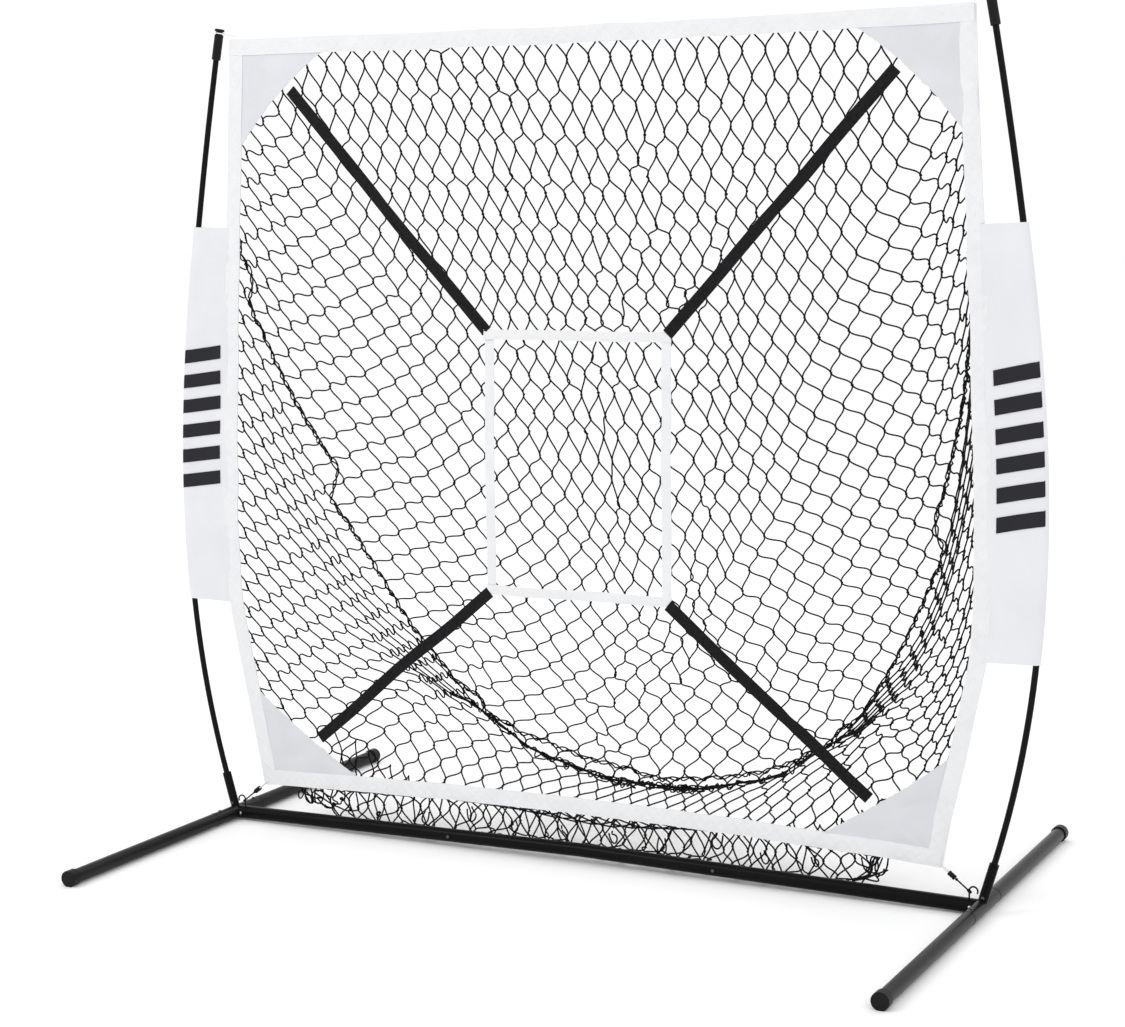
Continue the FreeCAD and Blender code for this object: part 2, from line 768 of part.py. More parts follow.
def pole_outline(side, foot, top):
    """The web of a side sleeve: from inside the border tape to the pole."""
    path = Part.BSplineCurve()
    path.interpolate([pole_point(side, foot), pole_point(side, (foot + top) / 2), pole_point(side, top)])
    pole = path.toShape()
    inner_foot = Vector(side * size("sleeve_inner_foot"), 0, foot)
    inner_top = Vector(side * size("sleeve_inner_top"), 0, top)
    return [
        pole,
        Part.LineSegment(pole_point(side, top), inner_top).toShape(),
        Part.LineSegment(inner_top, inner_foot).toShape(),
        Part.LineSegment(inner_foot, pole_point(side, foot)).toShape(),
    ]


def pole_point(side, height):
    """The pole's centre at a height."""
    for (start, angle, turn), (after, _, _) in zip(pole_arcs(side), pole_arcs(side)[1:]):
        if start.z <= height <= after.z:
            radius = size("pole_section") / math.radians(turn)
            centre = start + pole_inward(side, angle) * radius
            rise = height - centre.z
            return Vector(centre.x + side * math.sqrt(radius**2 - rise**2), 0, height)
    raise ValueError(f"no pole at height {height}")


# ------------------------------------------------------------------- netting

# The fold where the bag's back meets its sides and floor, from the upper
# corners down to the middle of the floor: half width, depth and height.
FOLD = (
    (690, 40, 1300),
    (650, 150, 1000),
    (610, 260, 720),
    (540, 330, 450),
    (430, 365, 250),
    (260, 385, 120),
    (90, 390, 75),
)
BACK_TOP = (694, 4, 1490)


def slab(points, sweep):
    """A flat polygon swept into a thin solid."""
    return Part.Face(Part.makePolygon(points + points[:1])).extrude(sweep)


def join(pieces):
    whole = pieces[0]
    for piece in pieces[1:]:
        whole = whole.fuse(piece)
    return whole.removeSplitter()


def make_back_net():
    """The back of the bag: level strips from the top border to the floor."""
    thick = size("net_thick")
    rows = (BACK_TOP,) + FOLD
    strips = []
    for (x1, y1, z1), (x2, y2, z2) in zip(rows, rows[1:]):
        corners = [Vector(-x1, y1, z1), Vector(x1, y1, z1), Vector(x2, y2, z2), Vector(-x2, y2, z2)]
        strips.append(slab(corners, Vector(0, thick, 0)))
    own_shape("net_back", join(strips))


def side_edge(height):
    """Half width just inside the border's side tape at a height."""
    curve = edge_curve(1, size("tape_width") + 1)
    at = curve.parameter(Vector(740, 0, height))
    return curve.value(at).x


def make_side_net(name, side):
    """A side of the bag, folded from the border back to the fold line."""
    sweep = Vector(side * size("net_thick"), 0, 0)
    front, behind = [], []
    for x, y, z in FOLD[:5]:
        front.append(Vector(side * side_edge(z), 3, z))
        behind.append(Vector(side * x, y - 1, z))
    top = Vector(side * BACK_TOP[0], 3, BACK_TOP[2])
    pieces = [slab([top, front[0], behind[0]], sweep)]
    for i in range(len(front) - 1):
        pieces.append(slab([front[i], front[i + 1], behind[i]], sweep))
        pieces.append(slab([front[i + 1], behind[i + 1], behind[i]], sweep))
    pieces.append(slab([front[-1], floor_corner(side), behind[-1]], sweep))
    own_shape(f"net_side_{name}", join(pieces))


def floor_corner(side):
    """Where a side of the bag, its floor and the border come together."""
    level = size("border_foot") + size("tape_width") + size("floor_corner_rise")
    return Vector(side * (side_edge(level) - 4), 4, level)


def make_floor_net():
    """The floor of the bag, from the bottom border back to the fold line."""
    sweep = Vector(0, 0, -size("net_thick"))
    pieces = []
    level = size("border_foot") + size("tape_width") / 2
    for side in (-1, 1):
        near = [floor_corner(side), Vector(side * FOLD[5][0], 4, level), Vector(0, 4, level)]
        far = [Vector(side * x, y - 1, z) for x, y, z in FOLD[4:]]
        far.append(Vector(0, FOLD[-1][1] - 1, FOLD[-1][2]))
        pieces.append(slab([near[0], near[1], far[0]], sweep))
        pieces.append(slab([near[1], far[1], far[0]], sweep))
        pieces.append(slab([near[1], near[2], far[1]], sweep))
        pieces.append(slab([near[2], far[2], far[1]], sweep))
        pieces.append(slab([near[2], far[3], far[2]], sweep))
    own_shape("net_floor", join(pieces))


# ----------------------------------------------------------- corner hardware


def belt(first, second, distance):
    """An elastic loop round two circles, the second at distance along X."""
    lean = math.asin((second - first) / distance)
    rise, run = math.cos(lean), math.sin(lean)
    far = Vector(distance, 0, 0)
    a, b = Vector(-first * run, first * rise, 0), Vector(-second * run, second * rise, 0) + far
    a2, b2 = Vector(a.x, -a.y, 0), Vector(b.x, -b.y, 0)
    path = Part.Wire(
        [
            Part.LineSegment(a, b).toShape(),
            Part.Arc(b, far + Vector(second, 0, 0), b2).toShape(),
            Part.LineSegment(b2, a2).toShape(),
            Part.Arc(a2, Vector(-first, 0, 0), a).toShape(),
        ]
    )
    ring = Part.Wire(Part.makeCircle(size("cord_radius"), a, b - a))
    return path.makePipeShell([ring], True, False)


def cord_frame(start, end, normal=None):
    """A placement at start whose own X runs to end."""
    run = end - start
    if normal is None:
        return Placement(start, Rotation(run, Vector(0, 1, 0), Vector(), "XYZ"))
    return Placement(start, Rotation(run, Vector(), normal, "XZY"))


def bottom_tie(side):
    """The straight line from a bottom cord hole to the hook's stem."""
    hole = cord_hole(side, "bottom")
    stem = hook_foot(side) + Vector(0, 0, size("hook_stem") - 1)
    return hole, stem


def hook_foot(side):
    """Where a hook's stem meets the top of the crossbar."""
    along = bar_direction(side) * size("hook_reach")
    return hub_centre(side) + along + Vector(0, 0, TUBE)


def make_corner_ties():
    """Elastic loops, barrels and wire links at the border's corners."""
    loops, barrels, links = [], [], []
    groove = size("pole_cap_sleeve") + size("groove_width") / 2
    small = size("cord_loop")
    for _, side in SIDES:
        place = pole_cap_place(side)
        axis = place.Rotation.multVec(Vector(0, 0, 1))
        centre = place.multVec(Vector(0, 0, groove))
        hole = cord_hole(side, "top")
        reach = hole - centre
        reach = reach - axis * reach.dot(axis)
        big = size("pole_cap_groove") + size("cord_radius") + 0.3
        loop = belt(big, small, reach.Length - small + 0.5)
        loop.Placement = cord_frame(centre, centre + reach, axis)
        loops.append(loop)

        hole, stem = bottom_tie(side)
        frame = cord_frame(hole, stem)
        barrel = size("barrel_reach")
        loop = belt(small, small, barrel + 7)
        loop.Placement = frame.multiply(Placement(Vector(small - 0.5, 0, 0), Rotation()))
        loops.append(loop)
        barrels.append(barrel_shape(frame, barrel))
        start = barrel + size("barrel_length") + 0.2
        links.append(link_shape(frame, start, (stem - hole).Length))
    own_shape("corner_elastics", Part.makeCompound(loops))
    own_shape("cord_barrels", Part.makeCompound(barrels))
    own_shape("hook_links", Part.makeCompound(links))


def barrel_shape(frame, start):
    """A ribbed plastic barrel that the elastic loop's end sits in."""
    along = Vector(1, 0, 0)
    length, radius = size("barrel_length"), size("barrel_radius")
    shape = Part.makeCylinder(radius - 0.5, length, Vector(start, 0, 0), along)
    for i in range(3):
        rib = Part.makeCylinder(radius, 3, Vector(start + 1 + i * 5, 0, 0), along)
        shape = shape.fuse(rib)
    bore = Part.makeCylinder(size("barrel_bore"), 15, Vector(start - 1, 0, 0), along)
    shape = shape.cut(bore)
    shape.Placement = frame
    return shape


def link_shape(frame, start, end):
    """A wire link: a swivel ball, a straight wire and a ring for the hook."""
    along = Vector(1, 0, 0)
    ring_radius, wire = size("link_ring"), size("link_wire")
    ball = Part.makeSphere(2.6, Vector(start + 2.6, 0, 0))
    run = end - ring_radius - start - 2.6
    rod = Part.makeCylinder(wire, run, Vector(start + 2.6, 0, 0), along)
    ring = Part.makeTorus(ring_radius, wire, Vector(end, 0, 0), Vector(0, 0, 1))
    shape = ball.fuse(rod).fuse(ring)
    shape.Placement = frame
    return shape


HOOK_SWEEP = 205


def make_hooks():
    """Wire hooks on the crossbar: a stem and a bend that opens outboard."""
    hooks = []
    wire, bend, stem = size("hook_wire"), size("hook_bend"), size("hook_stem")
    for _, side in SIDES:
        foot = hook_foot(side)
        post = Part.makeCylinder(wire, stem + 4, foot - Vector(0, 0, 4))
        centre = foot + Vector(side * bend, 0, stem)
        arc = Part.makeTorus(bend, wire, Vector(), Vector(0, 0, 1), -180, 180, HOOK_SWEEP)
        turn = Rotation(Vector(-side, 0, 0), Vector(0, 0, 1), Vector(), "XYZ")
        arc.Placement = Placement(centre, turn)
        bar = Part.makeCylinder(TUBE, 80, hub_centre(side), bar_direction(side))
        tip = Part.makeSphere(wire, centre + hook_tip(side, bend))
        hooks.append(post.cut(bar).fuse(arc).fuse(tip))
    own_shape("net_hooks", Part.makeCompound(hooks))


def hook_tip(side, bend):
    """The end of a hook's bend, measured from the bend's centre."""
    swept = math.radians(HOOK_SWEEP)
    return Vector(-side * math.cos(swept) * bend, 0, math.sin(swept) * bend)


# ---------------------------------------------------------------- assembly

for side_name, side_sign in SIDES:
    make_hub(side_name, side_sign)
    make_socket(side_name, side_sign)
    make_bar_end(side_name, side_sign)
    for end_name, end_sign in ENDS:
        make_leg(f"leg_{end_name}_{side_name}", side_sign, end_sign)
        make_end_cap(f"end_cap_{end_name}_{side_name}", side_sign, end_sign)
    make_poles(side_name, side_sign)
    make_pole_cap(side_name, side_sign)
make_bar_middle()
snap_buttons = button_places()
for button_label, (button_place, _) in snap_buttons.items():
    make_button(button_label, button_place)
make_springs(snap_buttons)
make_rivets()
make_ferrules()

tapes = border_shapes()
for tape_label, tape_shape in tapes.items():
    own_shape(tape_label, tape_shape)
for side_name, side_sign in SIDES:
    for tape_level in ("top", "bottom"):
        bounds = (tapes[f"border_{tape_level}"], tapes[f"border_{side_name}"])
        make_patch(f"patch_{tape_level}_{side_name}", side_sign, tape_level, bounds)
        make_strap(f"strap_{tape_level}_{side_name}", side_sign, tape_level)
    make_sleeve(side_name, side_sign, tapes[f"border_{side_name}"])
    make_side_net(side_name, side_sign)
make_zone()
make_back_net()
make_floor_net()
make_corner_ties()
make_hooks()

doc.recompute()

for item in doc.Objects:
    if "Invalid" in item.State or "Error" in item.State:
        raise RuntimeError(f"{item.Label} did not compute: {item.State}")
for item in sub_parts:
    if item.Shape.isNull() or not item.Shape.isValid():
        raise RuntimeError(f"{item.Label} has no valid shape")

os.makedirs("parts", exist_ok=True)
for item in sub_parts:
    item.Shape.exportStep(os.path.join("parts", item.Label + ".step"))
    print(item.Label, len(item.Shape.Solids), round(item.Shape.Volume))
print(len(sub_parts), "sub-parts")
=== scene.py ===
"""A bow-style pitching net: steel base, two bent poles, and a netting pocket in a white border."""

import heapq
import math

import bmesh
import bpy
import numpy as np
from mathutils import Matrix, Vector


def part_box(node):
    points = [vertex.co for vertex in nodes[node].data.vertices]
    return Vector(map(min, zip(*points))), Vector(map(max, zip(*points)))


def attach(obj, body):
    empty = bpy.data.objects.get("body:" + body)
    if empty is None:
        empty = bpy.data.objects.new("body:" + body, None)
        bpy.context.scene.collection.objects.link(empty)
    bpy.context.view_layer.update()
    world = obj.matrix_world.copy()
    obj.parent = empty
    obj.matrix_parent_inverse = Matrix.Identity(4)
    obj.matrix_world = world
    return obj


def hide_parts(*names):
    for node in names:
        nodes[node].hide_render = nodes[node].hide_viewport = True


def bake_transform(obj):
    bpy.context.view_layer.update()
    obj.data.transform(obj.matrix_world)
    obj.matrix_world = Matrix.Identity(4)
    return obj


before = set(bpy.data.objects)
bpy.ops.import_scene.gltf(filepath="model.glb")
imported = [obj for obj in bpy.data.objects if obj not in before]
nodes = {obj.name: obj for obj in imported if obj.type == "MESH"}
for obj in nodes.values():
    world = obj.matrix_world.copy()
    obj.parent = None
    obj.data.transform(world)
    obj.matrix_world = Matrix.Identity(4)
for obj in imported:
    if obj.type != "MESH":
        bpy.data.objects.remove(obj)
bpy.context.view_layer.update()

# ------------------------------------------------------------ sizes, metres
# The border's top edge sags in the middle and its bottom edge bows up.
BORDER_TOP, TOP_SAG, TOP_HALF = 1.526, 0.006, 0.73
BORDER_FOOT, FOOT_BOW, FOOT_HALF = 0.075, 0.017, 0.692
# Half lengths of the tapes along the top and the bottom.
TOP_REACH, FOOT_REACH = 0.7285, 0.6905
# Heights of the border's side edge, and half its width there.
EDGE = (
    (0.075, 0.692),
    (0.249, 0.727),
    (0.4305, 0.762),
    (0.6409, 0.770),
    (1.1487, 0.750),
    (1.526, 0.730),
)
TAPE_WIDTH, TAPE_THICK, TAPE_STEP = 0.030, 0.0026, 0.0028
CROSS_CELL, SIDE_CELL = 0.0415, 0.050  # pitch of the netting's zigzag inside a tape
CLOTH_THICK = 0.0009

# The hub tubes, and the black rims at their ends: partly a rolled lip, partly painted shade for the
# dark seam line.
HUB_X, HUB_HALF, AXIS_Z = 0.762, 0.076, 0.0143
RIM, RIM_REACH = 0.0018, 0.0115

# The netting: twine between two knots, the twine's radius and how finely it is drawn.
BAR, TWINE = 0.045, 0.0016
TWINE_SIDES, STRAND_POINTS = 5, 10
CELLS_ACROSS, CELLS_DOWN = 34, 27
SLACK_ACROSS, SLACK_DOWN = 28, 4
PIN_INSET, FOOT_INSET = 0.019, 0.016  # from the border's edge to where the netting is sewn in
FRONT_GAP, GROUND_GAP = 0.0042, 0.0035
KNOT_LUMPS = ((0.6, 0.0009, 0.0029), (-0.9, -0.0011, 0.0025))  # lean, shift and half length
KNOT_RADIUS = 0.0021
# Where the netting is split into pieces.
SPLIT_X, SPLIT_TOP, SPLIT_FLOOR = 0.52, 0.85, 0.30

# The settling calculation: seconds a step, speed kept a step, and gravity.
TIME_STEP, KEPT_SPEED, GRAVITY = 0.004, 0.99, 9.8
NET_STEPS, SLACK_STEPS = (900, 4200), (300, 2500)  # quick, full
WALL_DRAG, FLOOR_DRAG, SLACK_DRAG = 0.12, 0.3, 0.6

# Straps and strike zone.
STRAP_HALF, STRAP_THICK, STRAP_STEP = 0.011, 0.0017, 0.004
ZONE_HALF_WIDTH, ZONE_FOOT, ZONE_TOP, ZONE_TAPE_HALF = 0.187, 0.491, 0.982, 0.009

# Sleeves: foot, top, and how far out the cloth passes round the pole's centre.
SLEEVE_FOOT, SLEEVE_TOP, SLEEVE_REACH = 0.437, 1.168, 0.0083
# Bars printed on a sleeve: how many, the first one's height, their own height and their pitch.
MARKS, MARK_TOP, MARK_HEIGHT, MARK_PITCH = 6, 0.935, 0.026, 0.049

CORNERS = (
    ("top_left", -1, True),
    ("top_right", 1, True),
    ("bottom_left", -1, False),
    ("bottom_right", 1, False),
)


# ------------------------------------------------------------------ helpers


def link(obj):
    bpy.context.scene.collection.objects.link(obj)
    return obj


def smooth(points, count):
    """Points at equal steps along a natural cubic spline through the given ones."""
    p = np.array(points, float)
    if p.ndim == 1:
        p = p[:, None]
    at = np.concatenate([[0], np.cumsum(np.linalg.norm(np.diff(p, axis=0), axis=1))])
    return spline(at, p, np.linspace(0, at[-1], count))


def spline(at, values, where):
    """A natural cubic spline of values known at rising places."""
    at, values, where = np.array(at, float), np.array(values, float), np.array(where, float)
    flat = values.ndim == 1
    if flat:
        values = values[:, None]
    n = len(at)
    h = np.diff(at)
    system, right = np.eye(n), np.zeros_like(values)
    for i in range(1, n - 1):
        system[i, i - 1 : i + 2] = h[i - 1], 2 * (h[i - 1] + h[i]), h[i]
        after, behind = (values[i + 1] - values[i]) / h[i], (values[i] - values[i - 1]) / h[i - 1]
        right[i] = 6 * (after - behind)
    bend = np.linalg.solve(system, right)
    i = np.clip(np.searchsorted(at, where, side="right") - 1, 0, n - 2)
    left, width = (where - at[i])[:, None], h[i][:, None]
    slope = (values[i + 1] - values[i]) / width - width * (2 * bend[i] + bend[i + 1]) / 6
    rest = left * (bend[i] / 2 + left * (bend[i + 1] - bend[i]) / (6 * width))
    out = values[i] + left * (slope + rest)
    return out[:, 0] if flat else out


def edge_x(height):
    """Half the border's outer width at a height."""
    z, x = zip(*EDGE)
    shape = np.shape(height)
    return spline(z, x, np.ravel(height)).reshape(shape)


def unit(v):
    return v / np.maximum(np.linalg.norm(v, axis=-1, keepdims=True), 1e-12)


def fast_mesh(name, verts, quads, material, sharp=None, tris=None):
    """A mesh object from arrays."""
    mesh = bpy.data.meshes.new(name)
    mesh.vertices.add(len(verts))
    mesh.vertices.foreach_set("co", np.asarray(verts, np.float32).ravel())
    quads = np.asarray(quads, np.int32).reshape(-1, 4)
    tris = np.zeros((0, 3), np.int32) if tris is None else np.asarray(tris, np.int32)
    mesh.loops.add(quads.size + tris.size)
    mesh.loops.foreach_set("vertex_index", np.concatenate([quads.ravel(), tris.ravel()]))
    mesh.polygons.add(len(quads) + len(tris))
    starts = np.concatenate([np.arange(len(quads)) * 4, quads.size + np.arange(len(tris)) * 3])
    mesh.polygons.foreach_set("loop_start", starts.astype(np.int32))
    mesh.update(calc_edges=True)
    mesh.validate()
    mesh.shade_smooth()
    if sharp:
        mesh.set_sharp_from_angle(angle=math.radians(sharp))
    mesh.materials.append(material)
    return link(bpy.data.objects.new(name, mesh))


def cloth_mesh(name, grid, thick, material, relief=None, sharp=40):
    """A closed thin sheet: a grid of points, given a thickness, with relief on its front."""
    grid = np.asarray(grid, float)
    n, m = grid.shape[:2]
    along, across = np.gradient(grid, axis=0), np.gradient(grid, axis=1)
    normal = unit(np.cross(across, along))
    if normal[:, :, 1].mean() > 0:
        normal = -normal
    lift = thick / 2 + (0 if relief is None else relief)
    lift = np.broadcast_to(lift, (n, m))[:, :, None]
    layers = grid + normal * lift, grid - normal * thick / 2
    verts = np.concatenate([layer.reshape(-1, 3) for layer in layers])
    i = np.arange(n * m).reshape(n, m)
    front = np.stack([i[:-1, :-1], i[1:, :-1], i[1:, 1:], i[:-1, 1:]], -1).reshape(-1, 4)
    back = front[:, ::-1] + n * m
    rim = np.concatenate([i[:, 0], i[-1, 1:], i[-2::-1, -1], i[0, -2:0:-1]])
    following = np.roll(rim, -1)
    side = np.stack([following, rim, rim + n * m, following + n * m], -1)
    obj = fast_mesh(name, verts, np.concatenate([front, back, side]), material, sharp)
    recalculate(obj)
    return obj


def recalculate(obj):
    """Turns the faces of a closed mesh outwards."""
    work = bmesh.new()
    work.from_mesh(obj.data)
    bmesh.ops.recalc_face_normals(work, faces=work.faces)
    work.to_mesh(obj.data)
    work.free()


def wander(length, step, rng, size):
    """A smooth random wander of about that size, one value per place."""
    count = max(4, int(length / step) + 2)
    raw = rng.normal(0, size, count)
    at, last = np.arange(count) * step, (count - 1) * step
    return lambda place: spline(at, raw, np.clip(place, 0, last))


def stitching(across, place, width, along, pitch, depth):
    """Two sewn lines near a band's edges, deeper at each stitch."""
    line = np.exp(-(((np.abs(across) - place) / width) ** 2))
    return line[None] * (1 - depth + depth * np.cos(along / pitch * 2 * math.pi))[:, None]


# ---------------------------------------------------------------- materials


def material(name, colour, rough, metal=0.0, grain=None, sheen=0.0, shade=None, gloss=0.5):
    """A shader with an optional fine grain in its relief and an uneven shade in its colour."""
    made = bpy.data.materials.new(name)
    made.use_nodes = True
    tree = made.node_tree
    shader = tree.nodes["Principled BSDF"]
    shader.inputs["Base Color"].default_value = (*colour, 1)
    shader.inputs["Roughness"].default_value = rough
    shader.inputs["Metallic"].default_value = metal
    shader.inputs["Specular IOR Level"].default_value = gloss
    shader.inputs["Sheen Weight"].default_value = sheen
    coords = tree.nodes.new("ShaderNodeTexCoord")
    if shade:
        scale, low, high = shade
        noise = tree.nodes.new("ShaderNodeTexNoise")
        noise.inputs["Scale"].default_value = scale
        noise.inputs["Detail"].default_value = 4
        ramp = tree.nodes.new("ShaderNodeValToRGB")
        ramp.color_ramp.elements[0].position = 0.3
        ramp.color_ramp.elements[1].position = 0.7
        ramp.color_ramp.elements[0].color = (*[c * low for c in colour], 1)
        ramp.color_ramp.elements[1].color = (*[min(1, c * high) for c in colour], 1)
        tree.links.new(coords.outputs["Object"], noise.inputs["Vector"])
        tree.links.new(noise.outputs["Fac"], ramp.inputs["Fac"])
        tree.links.new(ramp.outputs["Color"], shader.inputs["Base Color"])
    if grain:
        kind, scale, strength, depth = grain
        bump = tree.nodes.new("ShaderNodeBump")
        bump.inputs["Strength"].default_value = strength
        bump.inputs["Distance"].default_value = depth
        if kind == "noise":
            source = tree.nodes.new("ShaderNodeTexNoise")
            source.inputs["Detail"].default_value = 3
        else:
            source = tree.nodes.new("ShaderNodeTexWave")
            source.wave_type = "BANDS"
            source.bands_direction = "DIAGONAL"
            source.inputs["Distortion"].default_value = 0.6
        source.inputs["Scale"].default_value = scale
        tree.links.new(coords.outputs["Object"], source.inputs["Vector"])
        tree.links.new(source.outputs["Fac"], bump.inputs["Height"])
        tree.links.new(bump.outputs["Normal"], shader.inputs["Normal"])
    return made


# A grain is its kind, scale, strength and depth; a shade is its scale and its darkest and lightest.
STEEL_GRAIN = ("noise", 900, 0.06, 0.0003)
CLOTH_GRAIN = ("noise", 650, 0.16, 0.0004)
ZINC_GRAIN = ("noise", 700, 0.1, 0.0002)

LOOKS = {
    "black_steel": material(
        "black_steel", (0.004, 0.004, 0.0048), 0.26, 0, STEEL_GRAIN,
        shade=(9, 0.8, 1.3), gloss=0.07,
    ),
    "grey_steel": material(
        "grey_steel", (0.0085, 0.0089, 0.0082), 0.28, 0, STEEL_GRAIN,
        shade=(7, 0.75, 1.3), gloss=0.11,
    ),
    "black_plastic": material(
        "black_plastic", (0.006, 0.006, 0.007), 0.42, 0, ("noise", 1500, 0.1, 0.0002),
        shade=(30, 0.8, 1.3), gloss=0.14,
    ),
    "zinc": material(
        "zinc", (0.62, 0.62, 0.60), 0.28, 1.0, ZINC_GRAIN, shade=(120, 0.8, 1.1)
    ),
    "fibreglass": material(
        "fibreglass", (0.005, 0.005, 0.006), 0.3, 0, ("noise", 300, 0.08, 0.0003), gloss=0.08
    ),
    "white_tape": material(
        "white_tape", (0.74, 0.745, 0.757), 0.85, 0, ("wave", 420, 0.18, 0.0004), 0.1,
        shade=(25, 0.965, 1.02),
    ),
    "white_cloth": material(
        "white_cloth", (0.63, 0.64, 0.67), 0.85, 0, CLOTH_GRAIN, 0.1, shade=(12, 0.95, 1.03)
    ),
    "black_webbing": material(
        "black_webbing", (0.006, 0.0055, 0.0065), 0.7, 0, ("wave", 330, 0.5, 0.0008),
        shade=(220, 0.6, 1.8), gloss=0.15,
    ),
    "netting": material(
        "netting", (0.007, 0.007, 0.008), 0.75, 0, ("wave", 520, 0.5, 0.0006), gloss=0.12
    ),
    "elastic_cord": material(
        "elastic_cord", (0.78, 0.78, 0.77), 0.7, 0, ("wave", 600, 0.4, 0.0004)
    ),
}
sleeve_cloth = material(
    "sleeve_cloth", (0.70, 0.707, 0.730), 0.85, 0, CLOTH_GRAIN, 0.1, shade=(6, 0.95, 1.03)
)
dark_zinc = material("dark_zinc", (0.10, 0.10, 0.10), 0.35, 1.0, ZINC_GRAIN)
print_black = material(
    "print_black", (0.016, 0.015, 0.019), 0.7, 0, ("noise", 650, 0.12, 0.0003), gloss=0.2
)

# The CAD nodes that stay visible take these looks; buttons and socket rivets are a darker zinc.
for obj in nodes.values():
    for index, plain in enumerate(obj.data.materials):
        obj.data.materials[index] = LOOKS[plain.name.split(".")[0]]

for name in nodes:
    if "_button_" in name or name == "socket_rivets":
        nodes[name].data.materials[0] = dark_zinc

# ------------------------------------------------------------------ netting


def lattice(cells_across, cells_down):
    """Rows of knots, their bars in four families, and the pairs across a cell."""
    rows, count = [], 0
    for r in range(2 * cells_down + 1):
        wide = cells_across + 1 - r % 2
        rows.append(np.arange(count, count + wide))
        count += wide
    families = [[], [], [], []]
    for r in range(2 * cells_down):
        above, below = rows[r], rows[r + 1]
        if r % 2 == 0:
            families[0].append((above[:-1], below))
            families[1].append((above[1:], below))
        else:
            families[2].append((above, below[1:]))
            families[3].append((above, below[:-1]))
    bars = [gather(f) for f in families]
    level = []
    for row in rows:
        for first in (0, 1):
            pairs = row[first : len(row) - (len(row) - first) % 2].reshape(-1, 2)
            level.append((pairs[:, 0], pairs[:, 1]))
    apart = [gather(level[0::2]), gather(level[1::2])]
    last = 2 * cells_down - 1
    for k in range(min(4, last)):
        apart.append(gather([(rows[r], rows[r + 2]) for r in range(k, last, 4)]))
    return rows, bars, apart, count


def gather(pairs):
    """Many pairs of index arrays as one pair."""
    return np.concatenate([p[0] for p in pairs]), np.concatenate([p[1] for p in pairs])


def top_edge(x):
    return BORDER_TOP - TOP_SAG * (1 - (x / TOP_HALF) ** 2)


def foot_edge(x):
    return BORDER_FOOT + FOOT_BOW * (1 - (x / FOOT_HALF) ** 2)


def top_pin(x):
    return top_edge(x) - PIN_INSET


def foot_pin(x):
    return foot_edge(x) + FOOT_INSET


# How far back the pocket reaches, and its half width there, at heights from its floor up.
POCKET_Z = (0.075, 0.12, 0.25, 0.45, 0.72, 1.0, 1.3, 1.5)
POCKET_Y = (0.39, 0.385, 0.365, 0.33, 0.26, 0.15, 0.045, 0.012)
POCKET_X = (0.26, 0.33, 0.43, 0.54, 0.61, 0.65, 0.69, 0.71)
# The lowest the netting hangs at its front and at its back, at places out from the middle.
FRONT_X, FRONT_FLOOR = (0, 0.5, 0.62, 0.70), (0.028, 0.028, 0.07, 0.115)
FLOOR_X, FLOOR_BACK = (0, 0.09, 0.26, 0.43, 0.54), (0.075, 0.075, 0.12, 0.25, 0.45)
FLOOR_DEPTH = 0.38
# The laced fold between the bag's back and its sides, on its way up: half width, depth and height.
FOLD = (
    (0.270, 0.380, 0.115),
    (0.455, 0.330, 0.250),
    (0.579, 0.264, 0.450),
    (0.658, 0.170, 0.720),
    (0.717, 0.045, 1.000),
    (0.722, 0.012, 1.170),
)


def pocket_floor(x, y):
    """Height of the lowest the netting hangs, over the ground."""
    front = np.interp(np.abs(x), FRONT_X, FRONT_FLOOR)
    back = np.interp(np.abs(x), FLOOR_X, FLOOR_BACK)
    s = np.clip(y / FLOOR_DEPTH, 0, 1)
    return front + (back - front) * s * s * (3 - 2 * s)


def hold_in_pocket(p, before, free):
    """Keeps knots inside the space that the hung netting takes."""
    x, y, z = p[:, 0].copy(), p[:, 1].copy(), p[:, 2].copy()
    above = z - pocket_floor(x, np.minimum(y, FLOOR_DEPTH))
    low = np.clip(1 - above / 0.15, 0, 1)
    deep = np.interp(z, POCKET_Z, POCKET_Y) - 0.06 * low * low
    over = np.maximum(y - deep, 0) * free
    p[:, 1] -= over
    drags = over > 0
    for k in (0, 2):
        p[drags, k] = before[drags, k] * WALL_DRAG + p[drags, k] * (1 - WALL_DRAG)
    share = np.clip(p[:, 1] / deep, 0, 1)
    edge = np.interp(z, *zip(*EDGE)) - 0.012
    wide = edge + (np.interp(z, POCKET_Z, POCKET_X) - edge) * share
    wider = np.maximum(np.abs(x) - wide, 0)
    p[:, 0] -= np.sign(x) * wider * free * np.clip((z - 0.2) / 0.1, 0, 1) * 0.3
    lift = np.maximum(pocket_floor(p[:, 0], p[:, 1]) - p[:, 2], 0) * free * 0.3
    p[:, 2] += lift
    rests = lift > 0
    p[rests, :2] = before[rests, :2] * FLOOR_DRAG + p[rests, :2] * (1 - FLOOR_DRAG)
    p[:, 1] = np.where((p[:, 1] < FRONT_GAP) & (free > 0), FRONT_GAP, p[:, 1])


